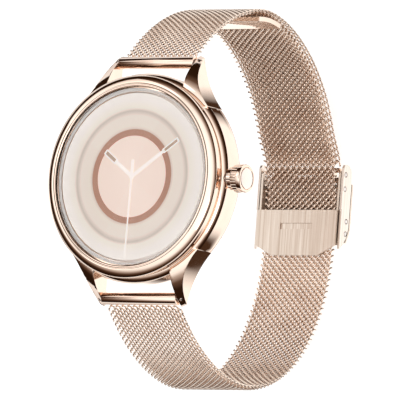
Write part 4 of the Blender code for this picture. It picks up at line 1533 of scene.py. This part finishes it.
# ---- Studio ----
@dataclass
class Studio:
    """Floor, light and camera.

    Attributes:
        turn: how far the camera stands round from the display's axis, in degrees.
        rise: how far it looks up the watch's length, in degrees.
        distance: from the camera to the middle of the view.
        width: what the view takes in at that distance.
        pan, tilt: place of the view's middle from the dial's centre, to the right and up.
        sensor: width of the camera's sensor, in millimetres.
        floor_size: side of the floor.
        floor_reach: how far from the watch the floor's mirrored bands are laid out.
        band_slant: how much the bright side of the floor leans along the watch.
        side_start, side_end: where that bright side starts and is full.
    """

    turn: float = 34.4
    rise: float = 7.43
    distance: float = 2.1
    width: float = 79.21 * MM
    pan: float = 13.33 * MM
    tilt: float = -4.63 * MM
    sensor: float = 36.0
    floor_size: float = 4.0
    floor_reach: float = 200 * MM
    band_slant: float = 0.22
    side_start: float = 28 * MM
    side_end: float = 42 * MM

    def camera(self) -> None:
        """A long lens, turned round the watch with 12 o'clock up."""
        turn, rise = math.radians(self.turn), math.radians(self.rise)
        right = Vector((math.cos(turn), math.sin(turn) * math.sin(rise), -math.sin(turn) * math.cos(rise)))
        up = Vector((0, math.cos(rise), math.sin(rise)))
        back = right.cross(up)
        data = bpy.data.cameras.new("camera")
        data.sensor_width = self.sensor
        data.lens = data.sensor_width * self.distance / self.width
        data.clip_start, data.clip_end = 0.1, 20.0
        item = bpy.data.objects.new("camera", data)
        bpy.context.scene.collection.objects.link(item)
        dial = Vector((0, 0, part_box("display_panel")[1].z))
        place = dial + right * self.pan + up * self.tilt + back * self.distance
        item.matrix_world = Matrix((
            (right.x, up.x, back.x, place.x), (right.y, up.y, back.y, place.y),
            (right.z, up.z, back.z, place.z), (0, 0, 0, 1)))
        bpy.context.scene.camera = item

    def floor(self) -> None:
        """A plain pale floor under the lowest point of the watch."""
        Bench.clear()
        low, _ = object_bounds()
        bpy.ops.mesh.primitive_plane_add(size=self.floor_size, location=(0, 0, low.z))
        item = bpy.context.object
        item.name = "floor"
        item.data.materials.append(self.paper())
        item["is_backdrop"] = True

    def mirrored(self, tree: bpy.types.NodeTree) -> bpy.types.NodeSocket:
        """What polished metal mirrors of the floor: bright near the watch, then dark, then pale.

        Args:
            tree: the floor's node tree.

        Returns:
            The colour.
        """
        nodes, links = tree.nodes, tree.links
        place = nodes.new("ShaderNodeTexCoord")
        split = nodes.new("ShaderNodeSeparateXYZ")
        links.new(place.outputs["Object"], split.inputs["Vector"])
        away = nodes.new("ShaderNodeMath")
        away.operation = "ABSOLUTE"
        links.new(split.outputs["Y"], away.inputs[0])
        share = Shading.scaled(tree, away.outputs["Value"], (0.0, self.floor_reach))
        bands = Shading.ramp(tree, share, [
            (0.0, (1.4, 1.4, 1.38, 1)), (0.18, (1.3, 1.28, 1.25, 1)), (0.25, (0.07, 0.033, 0.016, 1)),
            (0.31, (0.05, 0.024, 0.012, 1)), (0.40, (0.85, 0.80, 0.77, 1)), (1.0, (1.0, 1.0, 1.0, 1))])
        slant = nodes.new("ShaderNodeMath")
        slant.operation = "MULTIPLY_ADD"
        slant.inputs[1].default_value = self.band_slant
        links.new(split.outputs["Y"], slant.inputs[0])
        links.new(split.outputs["X"], slant.inputs[2])
        beside = Shading.scaled(tree, slant.outputs["Value"], (self.side_start, self.side_end))
        bright = nodes.new("ShaderNodeMix")
        bright.data_type = "RGBA"
        bright.inputs["B"].default_value = (1.35, 1.34, 1.31, 1)
        links.new(beside, bright.inputs["Factor"])
        links.new(bands, bright.inputs["A"])
        return bright.outputs["Result"]

    def paper(self) -> bpy.types.Material:
        """White paper that shows its mirrored bands to polished metal only.

        Returns:
            The material.
        """
        made, tree, shader = Shading.started("floor")
        shader.inputs["Base Color"].default_value = (0.55, 0.55, 0.55, 1)
        shader.inputs["Roughness"].default_value = 0.9
        shader.inputs["Emission Color"].default_value = (1, 1, 1, 1)
        shader.inputs["Emission Strength"].default_value = 0.8
        glow = tree.nodes.new("ShaderNodeEmission")
        tree.links.new(self.mirrored(tree), glow.inputs["Color"])
        path = tree.nodes.new("ShaderNodeLightPath")
        either = tree.nodes.new("ShaderNodeMixShader")
        tree.links.new(path.outputs["Is Glossy Ray"], either.inputs["Fac"])
        tree.links.new(shader.outputs["BSDF"], either.inputs[1])
        tree.links.new(glow.outputs["Emission"], either.inputs[2])
        tree.links.new(either.outputs["Shader"], tree.nodes["Material Output"].inputs["Surface"])
        return made

    def light(self) -> None:
        """Two lamps, and a bright sky with a dark belt near the horizon, which polished metal mirrors."""
        world = bpy.data.worlds.new("studio")
        bpy.context.scene.world = world
        world.use_nodes = True
        tree = world.node_tree
        sky = tree.nodes["Background"]
        sky.inputs["Strength"].default_value = 1.0
        place = tree.nodes.new("ShaderNodeTexCoord")
        split = tree.nodes.new("ShaderNodeSeparateXYZ")
        tree.links.new(place.outputs["Generated"], split.inputs["Vector"])
        share = Shading.scaled(tree, split.outputs["Z"], (-1.0, 1.0))
        shown = Shading.ramp(tree, share, [
            (0.0, (1.0, 1.0, 1.0, 1)), (0.49, (1.0, 1.0, 1.0, 1)), (0.5, (0.02, 0.008, 0.003, 1)),
            (0.69, (0.03, 0.013, 0.006, 1)), (0.78, (0.13, 0.075, 0.05, 1)), (0.86, (0.55, 0.47, 0.42, 1)),
            (0.91, (1.1, 1.1, 1.08, 1)), (1.0, (1.6, 1.62, 1.62, 1))])
        tree.links.new(shown, sky.inputs["Color"])
        self.lamp("key", (0.5, -0.35, 1.1), 0.5, 1.6)
        self.lamp("fill", (-0.7, 0.5, 0.8), 0.6, 1.0)

    @staticmethod
    def lamp(name: str, place: Sequence[float], size: float, power: float) -> None:
        """A soft square lamp aimed at the watch.

        Args:
            name: the lamp's name.
            place: where it hangs.
            size: its side.
            power: its power in watts.
        """
        data = bpy.data.lights.new(name, "AREA")
        data.size = size
        data.energy = power
        item = bpy.data.objects.new(name, data)
        item.location = place
        item.rotation_euler = (-Vector(place)).to_track_quat("-Z", "Y").to_euler()
        bpy.context.scene.collection.objects.link(item)

    def build(self) -> None:
        """Set up camera, floor and light."""
        self.camera()
        self.floor()
        self.light()
        bpy.context.scene.view_settings.view_transform = "Standard"
        LOG.info("studio: camera, floor, light")


def main() -> None:
    """Build the watch's looks in order."""
    logging.basicConfig(level=logging.INFO, format="%(message)s")
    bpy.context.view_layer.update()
    WatchCase().build()
    Dial().build()
    Crown().build()
    WovenStrap("upper_strap_mesh", "upper_strap", 0.45 * MM, 0.8 * MM).build()
    WovenStrap("lower_strap_mesh", "lower_strap", 0.8 * MM, 0.45 * MM).build(parts=2)
    StrapEnds().build()
    for piece in DRESSED:
        piece.build()
    Insides.build()
    Studio().build()


if __name__ == "__main__":
    main()
